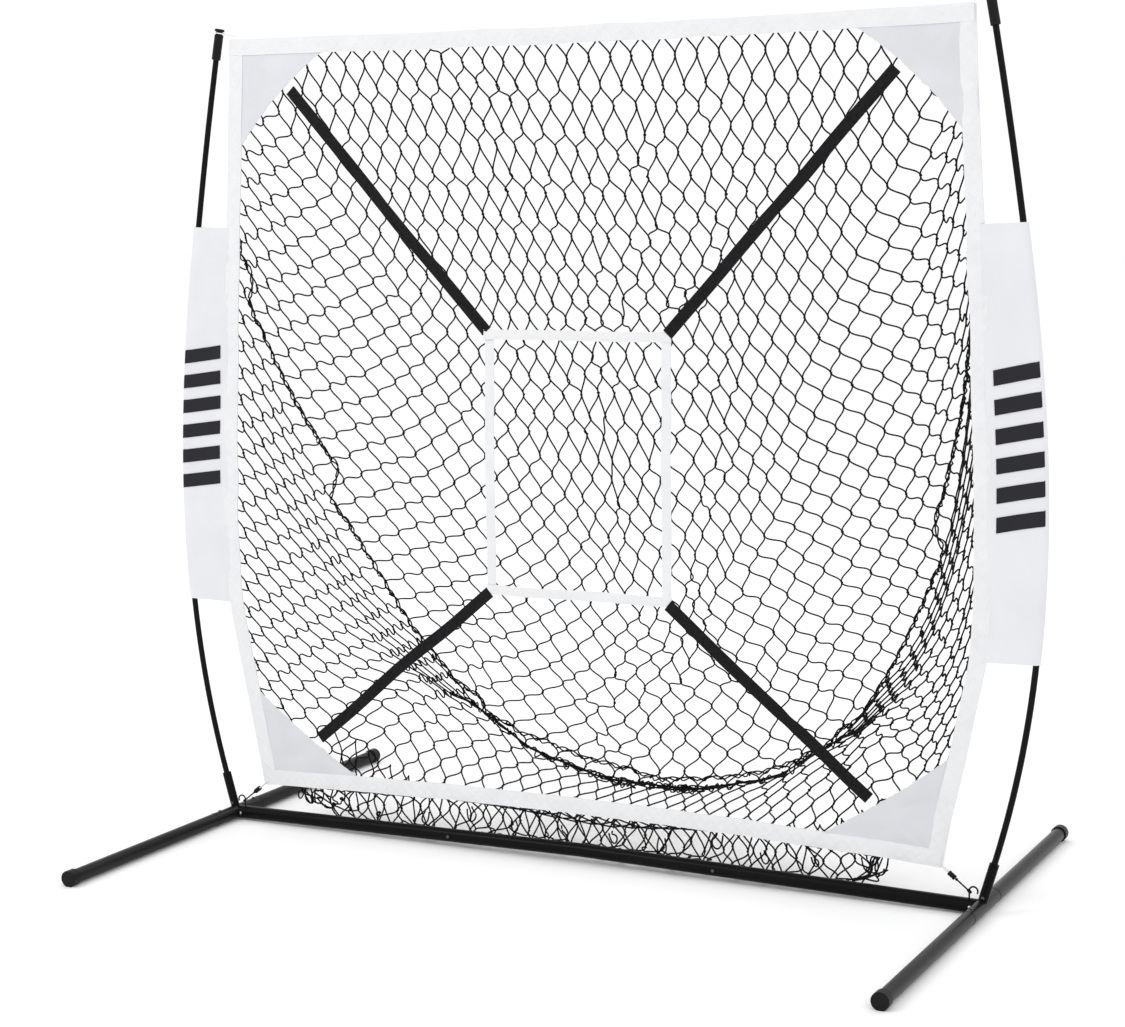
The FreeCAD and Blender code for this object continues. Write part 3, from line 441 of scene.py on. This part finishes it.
def hang(steps):
    """Knots of the netting after it has swung to rest, from a seeded start."""
    rng = np.random.default_rng(3)
    rows, bars, apart, count = lattice(CELLS_ACROSS, CELLS_DOWN)
    p, free = np.zeros((count, 3)), np.ones(count)
    for r, row in enumerate(rows):
        v = r / (2 * CELLS_DOWN)
        u = 2 * (np.arange(len(row)) + (r % 2) / 2) / CELLS_ACROSS - 1
        x = u * (edge_x(1.5 - 1.4 * v) - PIN_INSET)
        z = top_pin(x) + (foot_pin(x) - top_pin(x)) * v
        x = u * (edge_x(z) - PIN_INSET)
        from_edge = np.minimum(1, 2 * np.minimum(1 - np.abs(u), 0.5))
        y = 0.004 + 0.25 * np.sqrt(from_edge) * math.sin(math.pi * v) ** 0.8 * (0.4 + 0.6 * v)
        p[row] = np.stack([x, y, z], 1)
        if r in (0, 2 * CELLS_DOWN):
            free[row] = 0
        elif r % 2 == 0:
            free[row[[0, -1]]] = 0
    p[free == 0, 1] = 0.0013
    p[free == 0, 0] += rng.normal(0, 0.0015, int((free == 0).sum()))
    p += rng.normal(0, 0.001, p.shape) * free[:, None]
    p = swing(p, free, bars, apart, steps, 4.2, 0.017, hold_in_pocket)
    return rows, bars, p, free


def swing(p, free, bars, apart, steps, push, least, hold):
    """Lets knots fall and settle, no bar longer than its twine and no cell narrower than least."""
    before, pull = p.copy(), np.array((0, push, -GRAVITY))
    for step in range(steps):
        speed = (p - before) * KEPT_SPEED
        before = p.copy()
        p = p + (speed + pull * TIME_STEP * TIME_STEP) * free[:, None]
        for i, j in bars if step % 2 == 0 else bars[::-1]:
            separate(p, free, i, j, lambda gap: np.maximum(gap - BAR, 0))
        for k, (i, j) in enumerate(apart):
            limit = least * (1.5 if k < 2 else 1)
            separate(p, free, i, j, lambda gap: np.minimum(gap - limit, 0) * 0.5)
        hold(p, before, free)
    return p


def hold_under_border(p, before, free):
    """Keeps the slack below the border behind the crossbar and off the ground."""
    behind_bar, rearmost = 0.019, 0.15
    level = np.clip((0.085 - p[:, 2]) / 0.03, 0, 1)
    p[:, 1] += np.clip(behind_bar - p[:, 1], 0, None) * free * level
    p[:, 1] -= np.clip(p[:, 1] - rearmost, 0, None) * free
    floor = 0.008 + 0.05 * np.clip((np.abs(p[:, 0]) - 0.5) / 0.12, 0, 1)
    low = (p[:, 2] < floor) & (free > 0)
    p[low, 2] = floor[low]
    p[low, :2] = before[low, :2] * SLACK_DRAG + p[low, :2] * (1 - SLACK_DRAG)


def hang_slack(steps):
    """The slack that hangs in a fold below the bottom border."""
    rng = np.random.default_rng(8)
    rows, bars, apart, count = lattice(SLACK_ACROSS, SLACK_DOWN)
    p, free = np.zeros((count, 3)), np.ones(count)
    for r, row in enumerate(rows):
        v = r / (2 * SLACK_DOWN)
        u = 2 * (np.arange(len(row)) + (r % 2) / 2) / SLACK_ACROSS - 1
        x = u * (0.602 - 0.03 * v) - 0.024
        front, back = foot_pin(x) - 0.008, pocket_floor(x, 0.12) + 0.012
        z = front + (back - front) * v - 0.05 * math.sin(math.pi * v)
        y = 0.0035 + 0.115 * v + 0.02 * math.sin(math.pi * v)
        p[row] = np.stack([x, np.full(len(row), y), z], 1)
        if r in (0, 2 * SLACK_DOWN):
            free[row] = 0
    p += rng.normal(0, 0.006, p.shape) * free[:, None]
    p[free == 0, 0] += rng.normal(0, 0.006, int((free == 0).sum()))
    p = swing(p, free, bars, apart, steps, -0.6, 0.012, hold_under_border)
    return rows, bars, p, free


def separate(p, free, i, j, rule):
    """Moves both knots of each pair along the line between them, by what the rule makes of it."""
    d = p[i] - p[j]
    gap = np.linalg.norm(d, axis=1) + 1e-9
    share = free[i] + free[j]
    share[share == 0] = 1
    move = d / gap[:, None] * (rule(gap) / share)[:, None]
    p[i] -= move * free[i][:, None]
    p[j] += move * free[j][:, None]


def knot_headings(rows, p):
    """The way the twine runs through each knot: from the knots above to those below."""
    up, down = np.zeros_like(p), np.zeros_like(p)
    for r, row in enumerate(rows):
        for other, store in ((r - 1, up), (r + 1, down)):
            if not 0 <= other < len(rows):
                store[row] = p[row]
                continue
            line = rows[other]
            shift = 0 if r % 2 else -1
            left = np.clip(np.arange(len(row)) + shift, 0, len(line) - 1)
            right = np.clip(np.arange(len(row)) + shift + 1, 0, len(line) - 1)
            store[row] = (p[line[left]] + p[line[right]]) / 2
    return unit(down - up + 1e-6)


def waves(a, b, ta, tb, rng, count):
    """Curves from a to b, each with a bar's length of twine in it, so that slack shows as waves."""
    chord = b - a
    gap = np.linalg.norm(chord, axis=1, keepdims=True)
    way = chord / gap
    t = np.linspace(0, 1, count)[None, :, None]
    side = ta - (ta * way).sum(1, keepdims=True) * way
    side = unit(side + 0.15 * rng.normal(size=side.shape))
    fall = np.array((0, 0, -1.0)) + way[:, 2:3] * way
    bow = rng.uniform(0.05, 0.55, gap.shape) * fall + 0.12 * rng.normal(size=way.shape)
    pull = 0.85 * gap
    h00, h10 = 2 * t**3 - 3 * t**2 + 1, t**3 - 2 * t**2 + t
    h01, h11 = -2 * t**3 + 3 * t**2, t**3 - t**2
    base = a[:, None] * h00 + (ta * pull)[:, None] * h10
    base = base + b[:, None] * h01 + (tb * pull)[:, None] * h11
    wave = np.sin(2 * math.pi * t) * side[:, None] + np.sin(math.pi * t) * bow[:, None]
    low, high = np.zeros(gap.shape), np.minimum(0.003 + 0.28 * gap, 0.014)
    for _ in range(12):
        middle = (low + high) / 2
        curve = base + wave * middle[:, None]
        length = np.linalg.norm(np.diff(curve, axis=1), axis=2).sum(1, keepdims=True)
        short = length < BAR
        low, high = np.where(short, middle, low), np.where(short, high, middle)
    return base + wave * low[:, None]


def twine_mesh(curves, radius, sides):
    """Tubes round many curves of as many points each."""
    b, n = curves.shape[:2]
    tangent = unit(np.gradient(curves, axis=1))
    rough = unit(np.cross(curves[:, -1] - curves[:, 0], np.array((0.31, 0.22, 0.13))))
    first = unit(np.cross(tangent, np.broadcast_to(rough[:, None], tangent.shape) + 1e-6))
    second = np.cross(tangent, first)
    angle = np.arange(sides) * 2 * math.pi / sides
    ring = (
        first[:, :, None] * np.cos(angle)[None, None, :, None]
        + second[:, :, None] * np.sin(angle)[None, None, :, None]
    )
    verts = (curves[:, :, None] + ring * radius).reshape(-1, 3)
    index = np.arange(b * n * sides).reshape(b, n, sides)
    near, far = index[:, :-1], index[:, 1:]
    quads = np.stack([near, np.roll(near, -1, 2), np.roll(far, -1, 2), far], -1).reshape(-1, 4)
    return verts, quads


def knot_mesh(centres, headings, rng):
    """Each knot is two crossing lumps of twine."""
    angles = np.arange(6) * math.pi / 3
    ball = []
    for height in (-0.85, -0.3, 0.3, 0.85):
        ring = math.sqrt(1 - height * height)
        ball += [[ring * math.cos(a), ring * math.sin(a), height] for a in angles]
    ball = np.array(ball)
    index = np.arange(24).reshape(4, 6)
    low, high = index[:-1], index[1:]
    faces = np.stack([low, np.roll(low, -1, 1), np.roll(high, -1, 1), high], -1).reshape(-1, 4)
    caps = [[0, k + 1, k] for k in range(1, 5)] + [[18, k, k + 1] for k in range(19, 23)]
    caps = np.array(caps)
    verts, quads, tris = [], [], []
    k = len(centres)
    for turn, shift, long_side in KNOT_LUMPS:
        side = unit(np.cross(headings, rng.normal(size=headings.shape)))
        third = np.cross(headings, side)
        lean = unit(headings * math.cos(turn) + side * math.sin(turn))
        flat = unit(np.cross(lean, third))
        shape = (
            ball[None, :, 2:3] * lean[:, None] * long_side
            + ball[None, :, 0:1] * flat[:, None] * KNOT_RADIUS
            + ball[None, :, 1:2] * third[:, None] * KNOT_RADIUS
        )
        base = sum(len(v) for v in verts)
        verts.append((centres[:, None] + shape + side[:, None] * shift).reshape(-1, 3))
        offsets = base + np.arange(k)[:, None, None] * 24
        quads.append((faces[None] + offsets).reshape(-1, 4))
        tris.append((caps[None] + offsets).reshape(-1, 3))
    return np.concatenate(verts), np.concatenate(quads), np.concatenate(tris)


def make_curls(rng):
    """Small open loops of twine at the ends of the slack and along it."""
    spots = [
        (-0.628, 0.03, 0.052, 0.010),
        (-0.612, 0.035, 0.045, 0.008),
        (-0.596, 0.045, 0.047, 0.009),
        (0.572, 0.03, 0.050, 0.011),
        (0.556, 0.04, 0.058, 0.008),
    ]
    for x in np.linspace(-0.55, 0.55, 12):
        y, z = rng.uniform(0.022, 0.06), rng.uniform(0.032, 0.05)
        spots.append((x, y, z, rng.uniform(0.006, 0.011)))
    curls = []
    t = np.linspace(0, 1, 16)
    for x, y, z, size in spots:
        angle = 2 * math.pi * (0.9 * t + rng.uniform())
        lean = rng.uniform(-0.6, 0.6)
        out, up = np.cos(angle), np.sin(angle)
        loop = np.stack([x + size * 0.8 * out, y + size * up * lean, z + size * up], 1)
        loop[:, 0] += (t - 0.5) * size
        loop[:, 2] += 0.020 * (2 * t - 1) ** 4 * (size / 0.01)
        curls.append(loop)
    return np.array(curls)


def fold_line():
    """The fold round the bag's back: down one side, across the floor and up the other side."""
    left = [(-x, y, z) for x, y, z in FOLD[::-1]]
    return smooth(np.array(left + [(0, 0.39, 0.075)] + list(FOLD)), 160)


def fold_path(p, bars):
    """Knots along the bars that keep nearest to the fold, from one upper corner to the other."""
    line = fold_line()
    i, j = gather(bars)
    middle = (p[i] + p[j]) / 2
    off = np.min(np.linalg.norm(middle[:, None] - line[None], axis=2), axis=1)
    price = 1 + (off / 0.022) ** 2
    links = [[] for _ in p]
    for a, b, cost in zip(i.tolist(), j.tolist(), price.tolist()):
        links[a].append((b, cost))
        links[b].append((a, cost))
    start = int(np.argmin(np.linalg.norm(p - line[0], axis=1)))
    end = int(np.argmin(np.linalg.norm(p - line[-1], axis=1)))
    best, origin, queue = {start: 0}, {}, [(0, start)]
    while queue:
        cost, knot = heapq.heappop(queue)
        if cost > best[knot]:
            continue
        for other, more in links[knot]:
            if cost + more < best.get(other, math.inf):
                best[other], origin[other] = cost + more, knot
                heapq.heappush(queue, (cost + more, other))
    path = [end]
    while path[-1] != start:
        path.append(origin[path[-1]])
    return np.array(path)


def make_lacing(p, bars):
    """Twine laced along the fold, which gathers the netting there into a dark line."""
    rng = np.random.default_rng(5)
    path = fold_path(p, bars)
    line = (p[path[:-1]] + p[path[1:]]) / 2
    n = 6 * (len(line) - 1)
    strands = []
    for lag in (0, 2.1):
        strand = smooth(line, n)
        turn = np.arange(n) * 0.9 + lag
        strand += 0.0035 * np.stack([np.cos(turn), 0.6 * np.sin(turn), np.sin(turn)], 1)
        strand += rng.normal(0, 0.0006, strand.shape)
        strands.append(strand)
    knots = line + rng.normal(0, 0.0015, line.shape)
    headings = unit(rng.normal(size=line.shape))
    net_piece("netting_lacing", "net_back", np.array(strands), knots, headings, rng)


def strands_between(rows, bars, p, rng, nearest):
    """Headings of all knots, and a curve of twine for each bar, kept off front and ground."""
    headings = knot_headings(rows, p)
    i, j = gather(bars)
    curves = waves(p[i], p[j], headings[i], headings[j], rng, STRAND_POINTS)
    curves[:, :, 1] = np.maximum(curves[:, :, 1], nearest)
    curves[:, :, 2] = np.maximum(curves[:, :, 2], GROUND_GAP)
    return headings, curves, (p[i] + p[j]) / 2


def make_netting():
    """The netting in five pieces, the lacing, and the slack below the border."""
    rng = np.random.default_rng(11)
    full = 1
    rows, bars, p, free = hang(NET_STEPS[full])
    headings, curves, middle = strands_between(rows, bars, p, rng, 0.0013)
    # Name, the node it replaces, and the span of x and of z that it covers.
    groups = (
        ("netting_top", "net_back", (-SPLIT_X, SPLIT_X), (SPLIT_TOP, 2)),
        ("netting_back", "net_back", (-SPLIT_X, SPLIT_X), (SPLIT_FLOOR, SPLIT_TOP)),
        ("netting_left", "net_side_left", (-1, -SPLIT_X), (SPLIT_FLOOR, 2)),
        ("netting_right", "net_side_right", (SPLIT_X, 1), (SPLIT_FLOOR, 2)),
        ("netting_floor", "net_floor", (-1, 1), (-1, SPLIT_FLOOR)),
    )
    for name, node, (x1, x2), (z1, z2) in groups:
        mine, knots = (
            (at[:, 0] >= x1) & (at[:, 0] < x2) & (at[:, 2] >= z1) & (at[:, 2] < z2)
            for at in (middle, p)
        )
        knots &= free > 0
        net_piece(name, node, curves[mine], p[knots], headings[knots], rng)
    make_lacing(p, bars)
    rows, bars, p, free = hang_slack(SLACK_STEPS[full])
    headings, curves, _ = strands_between(rows, bars, p, rng, 0.0030)
    net_piece("netting_slack", "net_floor", curves, p[free > 0], headings[free > 0], rng)
    verts, quads = twine_mesh(make_curls(rng), TWINE, 6)
    finish_net(fast_mesh("netting_curls", verts, quads, LOOKS["netting"]), "net_floor")


def net_piece(name, node, curves, knots, headings, rng):
    """One piece of netting: its twine and its knots in a single mesh."""
    verts, quads = twine_mesh(curves, TWINE, TWINE_SIDES)
    more, faces, tris = knot_mesh(knots, headings, rng)
    shift = len(verts)
    verts, quads = np.concatenate([verts, more]), np.concatenate([quads, faces + shift])
    finish_net(fast_mesh(name, verts, quads, LOOKS["netting"], tris=tris + shift), node)


def finish_net(obj, node):
    """Bakes the piece's placement into its mesh and hides the CAD node that it replaces."""
    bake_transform(obj)
    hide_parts(node)


make_netting()

# --------------------------------------------------------------- leg rims, with painted seam shade


def make_rims_and_seam_shade():
    """Rolled rims where the legs plug into the hub tubes; their black colour is painted shade
    standing in for the dark seam line there.
    """
    steps = 49
    angle = np.linspace(0, 2.04 * math.pi, steps)
    across, up = RIM_REACH * np.cos(angle), RIM_REACH * np.sin(angle)
    rings = []
    for x in (-HUB_X, HUB_X):
        for y in (-HUB_HALF, HUB_HALF):
            rings.append(np.stack([x + across, np.full(steps, y), AXIS_Z + up], 1))
    verts, quads = twine_mesh(np.array(rings), RIM, 8)
    # Black plastic here is painted shade for the seam's dark line, on a ring shaped like the rolled
    # lip.
    obj = fast_mesh("leg_rims_and_seam_shade", verts, quads, LOOKS["black_plastic"])
    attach(obj, "frame")


make_rims_and_seam_shade()

# ------------------------------------------------------------------- border


def make_tape(name, node, path, y, rng, cell):
    """A folded tape, with the netting inside showing as a zigzag on its face."""
    path = np.array(path, float)
    length = np.linalg.norm(np.diff(path, axis=0), axis=1).sum()
    n, m = int(length / TAPE_STEP), 13
    line = smooth(path, n)
    along = np.linspace(0, length, n)
    across = np.linspace(-1, 1, m)
    heading = unit(np.gradient(line, axis=0))
    out = unit(np.cross(heading, np.array((0, 1.0, 0))))
    edge_wander = wander(length, 0.06, rng, 0.0006)
    face_wander = wander(length, 0.05, rng, 0.0007)
    half = TAPE_WIDTH / 2
    grid = line[:, None] + out[:, None] * (across[None, :, None] * half)
    grid += out[:, None] * edge_wander(along)[:, None, None]
    grid[:, :, 1] += y + face_wander(along)[:, None] * across[None, :] ** 2
    phase = (along / cell) % 1
    ridge_width = 0.0021
    zigzag = (np.abs(phase - 0.5) * 4 - 1) * 0.75
    other = (np.abs((phase + 0.5) % 1 - 0.5) * 4 - 1) * 0.75
    ridge = np.exp(-(((across[None] - zigzag[:, None]) * half / ridge_width) ** 2))
    ridge += 0.7 * np.exp(-(((across[None] - other[:, None]) * half / ridge_width) ** 2))
    seam = stitching(across, 0.80, 0.09, along, 0.0032, 0.25)
    relief = 0.0009 * ridge * (np.abs(across) < 0.95)[None] - 0.0004 * seam
    puff = 0.0005 * (1 - across**2)[None]
    obj = cloth_mesh(name, grid, TAPE_THICK, LOOKS["white_tape"], relief + puff)
    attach(obj, "frame")
    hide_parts(node)


rng = np.random.default_rng(5)
inset = TAPE_WIDTH / 2
xs = np.linspace(-TOP_REACH, TOP_REACH, 9)
line = [(x, 0, top_edge(x) - inset) for x in xs]
make_tape("tape_top", "border_top", line, 0, rng, CROSS_CELL)
xs = np.linspace(-FOOT_REACH, FOOT_REACH, 9)
line = [(x, 0, foot_edge(x) + inset) for x in xs]
make_tape("tape_bottom", "border_bottom", line, 0, rng, CROSS_CELL)
zs = np.linspace(BORDER_FOOT + 0.004, BORDER_TOP - 0.003, 15)
for name, side in (("left", -1), ("right", 1)):
    line = [(side * (x - inset), 0, z) for x, z in zip(edge_x(zs), zs)]
    make_tape(f"tape_{name}", f"border_{name}", line, 0.0005, rng, SIDE_CELL)

# ------------------------------------------------------------ corner patches


def make_patch(label, side, top, rng):
    """A triangle of cloth in a corner, behind the tapes, with a hollow edge and soft wrinkles."""
    if top:
        corner = np.array((side * TOP_REACH, 0, BORDER_TOP - 0.0015))
        first = np.array((side * 0.480, 0, BORDER_TOP - 0.006))
        last, hollow = 1.276, 0.07
    else:
        corner = np.array((side * FOOT_REACH, 0, BORDER_FOOT + 0.0015))
        first = np.array((side * 0.430, 0, BORDER_FOOT + 0.011))
        last, hollow = 0.293, 0.03
    rise = np.linspace(corner[2], last, 9)
    down = np.stack([side * (edge_x(rise) - 0.0015), 0 * rise, rise], 1)
    n, m = 72, 60
    b = np.linspace(0, 1, m)
    raw = first[None] * (1 - b[:, None]) + down[-1][None] * b[:, None]
    inward = corner - (first + down[-1]) / 2
    arch = np.sin(math.pi * b)
    bow = 2 * hollow * arch**0.8 + 0.004 * rng.normal(size=m) * arch**0.3
    raw = raw + inward * bow[:, None]
    a = np.linspace(0.004, 1, n)
    grid = corner + a[:, None, None] * (raw[None] - corner)
    order = np.argsort(down[:, 2])
    grid[:, -1, 0] = np.interp(grid[:, -1, 2], down[order, 2], down[order, 0])
    # The cloth goes behind the tapes, and its wrinkles start clear of them.
    drop = np.abs(grid[:, :, 2] - corner[2])
    past = np.minimum(drop, edge_x(grid[:, :, 2]) - np.abs(grid[:, :, 0])) - TAPE_WIDTH
    grid[:, :, 1] = 0.0006 - 0.0012 * np.clip(past / 0.012, 0, 1)
    across, along = np.meshgrid(b, a)
    amount = along * (1 - 0.6 * along) * np.sin(math.pi * across) ** 0.5
    fold = 0.0032 * np.sin(9 * across + 5 * along * along + side) * amount
    fold += 0.0028 * np.sin(15 * across - 6 * along + 2 * side) * amount
    fold += 0.0010 * np.sin(27 * across + 13 * along + side) * amount * along
    gathers = np.clip(1.1 - along, 0, 1) * 0.0010 * np.sin(7 * across * math.pi + 3 * along)
    gathers = gathers * amount * 3
    relief = np.abs(fold + gathers) * 0.9 * np.clip(past / 0.02, 0, 1)
    obj = cloth_mesh(f"corner_{label}", grid, CLOTH_THICK, LOOKS["white_cloth"], relief)
    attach(obj, "frame")
    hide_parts(f"patch_{label}")


for label, side, top in CORNERS:
    make_patch(label, side, top, rng)

# ------------------------------------------------------------------- straps


def make_strap(label, start, end, y, rng):
    """A flat strap pulled between the strike zone and a corner, with a slight twist."""
    start, end = np.array(start), np.array(end)
    length = np.linalg.norm(end - start)
    n, m = int(length / STRAP_STEP), 9
    s, t = np.linspace(0, 1, n), np.linspace(-1, 1, m)
    way = (end - start) / length
    side = np.cross(way, np.array((0, 1.0, 0)))
    swerve = wander(length, length / 5, rng, 0.0014)(s * length) * np.sin(math.pi * s)
    places, turns = rng.uniform(0.3, 0.75, 2), rng.uniform(-0.35, 0.35, 2)
    twist = sum(turn * np.exp(-(((s - at) / 0.035) ** 2)) for at, turn in zip(places, turns))
    line = start + s[:, None] * (end - start) + side * swerve[:, None]
    line[:, 1] = y - 0.0012 * np.sin(math.pi * s) - np.abs(twist) * 0.004
    front = np.array((0, -1.0, 0))
    across = side[None] * np.cos(twist)[:, None] + front[None] * np.sin(twist)[:, None]
    grid = line[:, None] + across[:, None] * (t[None, :, None] * STRAP_HALF)
    ribs = 0.00022 * np.cos(t * 3.5 * math.pi)[None] * np.ones((n, 1))
    stitch = np.zeros((n, m))
    for place in (0.008, 0.028, length - 0.028, length - 0.008):
        stitch -= 0.0005 * np.exp(-(((s * length - place) / 0.0016) ** 2))[:, None]
    look = LOOKS["black_webbing"]
    obj = cloth_mesh(f"strap_{label}_webbing", grid, STRAP_THICK, look, ribs + stitch)
    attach(obj, "frame")
    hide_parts(f"strap_{label}")


for label, side, top in CORNERS:
    low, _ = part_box(f"strap_{label}")
    near = (side * 0.181, 0, 0.978 if top else 0.495)
    far = (side * 0.596, 0, 1.426) if top else (side * 0.561, 0, 0.182)
    make_strap(label, near, far, low[1] + 0.0011, rng)

# -------------------------------------------------------------- strike zone


def make_zone():
    """Four white tapes, crossed over at the corners."""
    low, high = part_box("strike_zone")
    y = (low[1] + high[1]) / 2
    x, z1, z2, half = ZONE_HALF_WIDTH, ZONE_FOOT, ZONE_TOP, ZONE_TAPE_HALF
    rails = (
        ("zone_top", (-x, z2 - half), (x, z2 - half), 0.0),
        ("zone_bottom", (-x, z1 + half), (x, z1 + half), 0.0),
        ("zone_left", (-x + half, z1), (-x + half, z2), 0.0011),
        ("zone_right", (x - half, z1), (x - half, z2), 0.0011),
    )
    for name, a, b, shift in rails:
        a, b = np.array((a[0], 0, a[1])), np.array((b[0], 0, b[1]))
        length = np.linalg.norm(b - a)
        n, m = int(length / 0.003), 9
        s, t = np.linspace(0, 1, n), np.linspace(-1, 1, m)
        way = (b - a) / length
        side = np.cross(way, np.array((0, 1.0, 0)))
        bend = wander(length, 0.09, rng, 0.0009)(s * length) * np.sin(math.pi * s)
        line = a + s[:, None] * (b - a) + side * bend[:, None]
        line[:, 1] = y + shift + wander(length, 0.07, rng, 0.0009)(s * length)
        grid = line[:, None] + side[None, None] * (t[None, :, None] * half)
        seam = stitching(t, 0.72, 0.13, s * length, 0.003, 0.3)
        relief = 0.0004 * (1 - t**2)[None] - 0.0003 * seam
        obj = cloth_mesh(name, grid, 0.0013, LOOKS["white_tape"], relief)
        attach(obj, "frame")
        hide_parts("strike_zone")


make_zone()

# ------------------------------------------------------------------ sleeves


def pole_line(name):
    """The pole's sideways place as a function of height, fitted to its three CAD sections."""
    points = []
    for part in ("lower", "middle", "upper"):
        mesh = nodes[f"pole_{part}_{name}"].data
        co = np.empty(len(mesh.vertices) * 3)
        mesh.vertices.foreach_get("co", co)
        points.append(co.reshape(-1, 3))
    points = np.concatenate(points)
    order = np.argsort(points[:, 2])
    points = points[order]
    edges = np.linspace(points[0, 2], points[-1, 2], 40)
    rows = []
    for z1, z2 in zip(edges, edges[1:]):
        some = points[(points[:, 2] >= z1 - 1e-6) & (points[:, 2] <= z2 + 1e-6)]
        if len(some) > 4:
            rows.append((some[:, 2].mean(), (some[:, 0].min() + some[:, 0].max()) / 2))
    z, x = zip(*rows)
    fit = np.polyfit(z, x, 5)
    return lambda height: np.polyval(fit, height)


def make_sleeve(name, side, rng):
    """A band of cloth from the border round the pole and back, in two layers."""
    pole_x = pole_line(name)
    z1, z2, reach = SLEEVE_FOOT, SLEEVE_TOP, SLEEVE_REACH
    n = 150
    heights = np.linspace(z1, z2, n)
    seam, centre = side * (edge_x(heights) - 0.007), pole_x(heights)
    web, turn = 16, 12  # points across one layer, and round the pole
    rings = []
    creases = [wander(1.0, 0.07, rng, 1.0) for _ in range(3)]
    for k, z in enumerate(heights):
        inner, mid = seam[k], centre[k]
        tangent = mid - side * reach * 0.9
        u = np.linspace(0, 1, web)
        gap = 0.0009 + (reach - 0.0009) * u**2.2
        soft = sum(
            crease(np.array([z - z1 + 0.11 * i]))[0] * np.sin(math.pi * u * (i + 1))
            for i, crease in enumerate(creases)
        )
        soft = soft * 0.0008
        front = np.stack([inner + (tangent - inner) * u, -gap - soft, np.full(web, z)], 1)
        angle = np.linspace(-math.pi / 2, math.pi / 2, turn)[1:-1]
        out, rear = side * reach * np.cos(angle), reach * np.sin(angle)
        arc = np.stack([mid + out, rear, np.full(turn - 2, z)], 1)
        arc[:, 0] -= side * 0.0004
        rear = (gap + soft * 0.5)[::-1]
        back = np.stack([tangent + (inner - tangent) * u, rear, np.full(web, z)], 1)
        rings.append(np.concatenate([front, arc, back]))
    grid = np.array(rings)
    slant = 0.0035 * side * (grid[:, :, 0] - seam[:, None]) / 0.1
    grid[:, :, 2] += np.where(np.abs(slant) < 0.01, slant, 0)
    a = np.linspace(0, 1, n)
    hem = np.exp(-(((np.minimum(a, 1 - a)) * (z2 - z1) - 0.012) / 0.0013) ** 2)
    hem = hem[:, None] * np.ones((1, grid.shape[1]))
    obj = cloth_mesh(f"sleeve_{name}", grid, CLOTH_THICK, sleeve_cloth, -0.0004 * hem)
    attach(obj, "frame")
    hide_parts(f"side_sleeve_{name}")
    # Plain slanted bars, a little proud of the cloth and following it.
    for k in range(MARKS):
        z = MARK_TOP - MARK_PITCH * k
        rows = []
        for v in np.linspace(0, 1, 9):
            cells = []
            for u in np.linspace(0.14, 0.86, 24):
                height = z - MARK_HEIGHT * v + 0.020 * (u - 0.5) * side
                row = (height - z1) / (z2 - z1) * (n - 1)
                r0 = int(np.clip(row, 0, n - 2))
                col = u * (web + 4)
                c0 = int(np.clip(col, 0, grid.shape[1] - 2))
                fr, fc = row - r0, col - c0
                cells.append(
                    grid[r0, c0] * (1 - fr) * (1 - fc) + grid[r0 + 1, c0] * fr * (1 - fc)
                    + grid[r0, c0 + 1] * (1 - fr) * fc + grid[r0 + 1, c0 + 1] * fr * fc
                )
            rows.append(cells)
        patch = np.array(rows)
        patch[:, :, 1] -= 0.0013
        bar = cloth_mesh(f"mark_{name}_{k}", patch, 0.0005, print_black)
        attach(bar, "frame")


for name, side in (("left", -1), ("right", 1)):
    make_sleeve(name, side, rng)

# ---------------------------------------------------------- stage and light


CAMERA_PLACE, CAMERA_LENS = (1.84, -3.723, 1.187), 73.86
CAMERA_YAW, CAMERA_PITCH, CAMERA_ROLL = 26.66, 7.35, -0.47  # degrees


def make_camera():
    """Stands to the right of the middle, 1.2 m up, looking a little down."""
    data = bpy.data.cameras.new("camera")
    data.lens, data.sensor_width, data.clip_end = CAMERA_LENS, 36, 200
    camera = link(bpy.data.objects.new("camera", data))
    yaw, pitch, roll = (math.radians(a) for a in (CAMERA_YAW, CAMERA_PITCH, CAMERA_ROLL))
    flat = math.cos(pitch)
    ahead = Vector((-math.sin(yaw) * flat, math.cos(yaw) * flat, -math.sin(pitch)))
    right = Vector((math.cos(yaw), math.sin(yaw), 0))
    up = right.cross(ahead)
    across = right * math.cos(roll) + up * math.sin(roll)
    upward = up * math.cos(roll) - right * math.sin(roll)
    place = Matrix((across, upward, -ahead)).transposed().to_4x4()
    place.translation = CAMERA_PLACE
    camera.matrix_world = place
    bpy.context.scene.camera = camera


def make_floor():
    """A plain pale floor that reaches past the view."""
    far = 60
    corners = [(-far, -far, 0), (far, -far, 0), (far, far, 0), (-far, far, 0)]
    mesh = bpy.data.meshes.new("ground")
    mesh.from_pydata(corners, [], [(0, 1, 2, 3)])
    ground = link(bpy.data.objects.new("ground", mesh))
    mesh.materials.append(material("ground", (0.97, 0.97, 0.97), 0.9, gloss=0.1))


def make_light(name, place, target, power, size):
    """A square soft light that looks at its target."""
    data = bpy.data.lights.new(name, "AREA")
    data.shape, data.size, data.energy = "SQUARE", size, power
    lamp = link(bpy.data.objects.new(name, data))
    lamp.location = place
    lamp.rotation_euler = (Vector(target) - Vector(place)).to_track_quat("-Z", "Y").to_euler()


make_camera()
make_floor()
bpy.context.scene.view_settings.view_transform = "Standard"
world = bpy.data.worlds.new("studio")
world.use_nodes = True
world.node_tree.nodes["Background"].inputs["Color"].default_value = (1, 1, 1, 1)
world.node_tree.nodes["Background"].inputs["Strength"].default_value = 1.04
bpy.context.scene.world = world
make_light("key", (-2.6, -3.2, 4.2), (0, 0, 0.6), 46, 1.6)
make_light("fill", (3.6, -2.4, 2.6), (0, 0, 0.7), 12, 2.0)
make_light("rim", (0.5, 3.4, 3.6), (0, 0, 0.7), 20, 2.0)
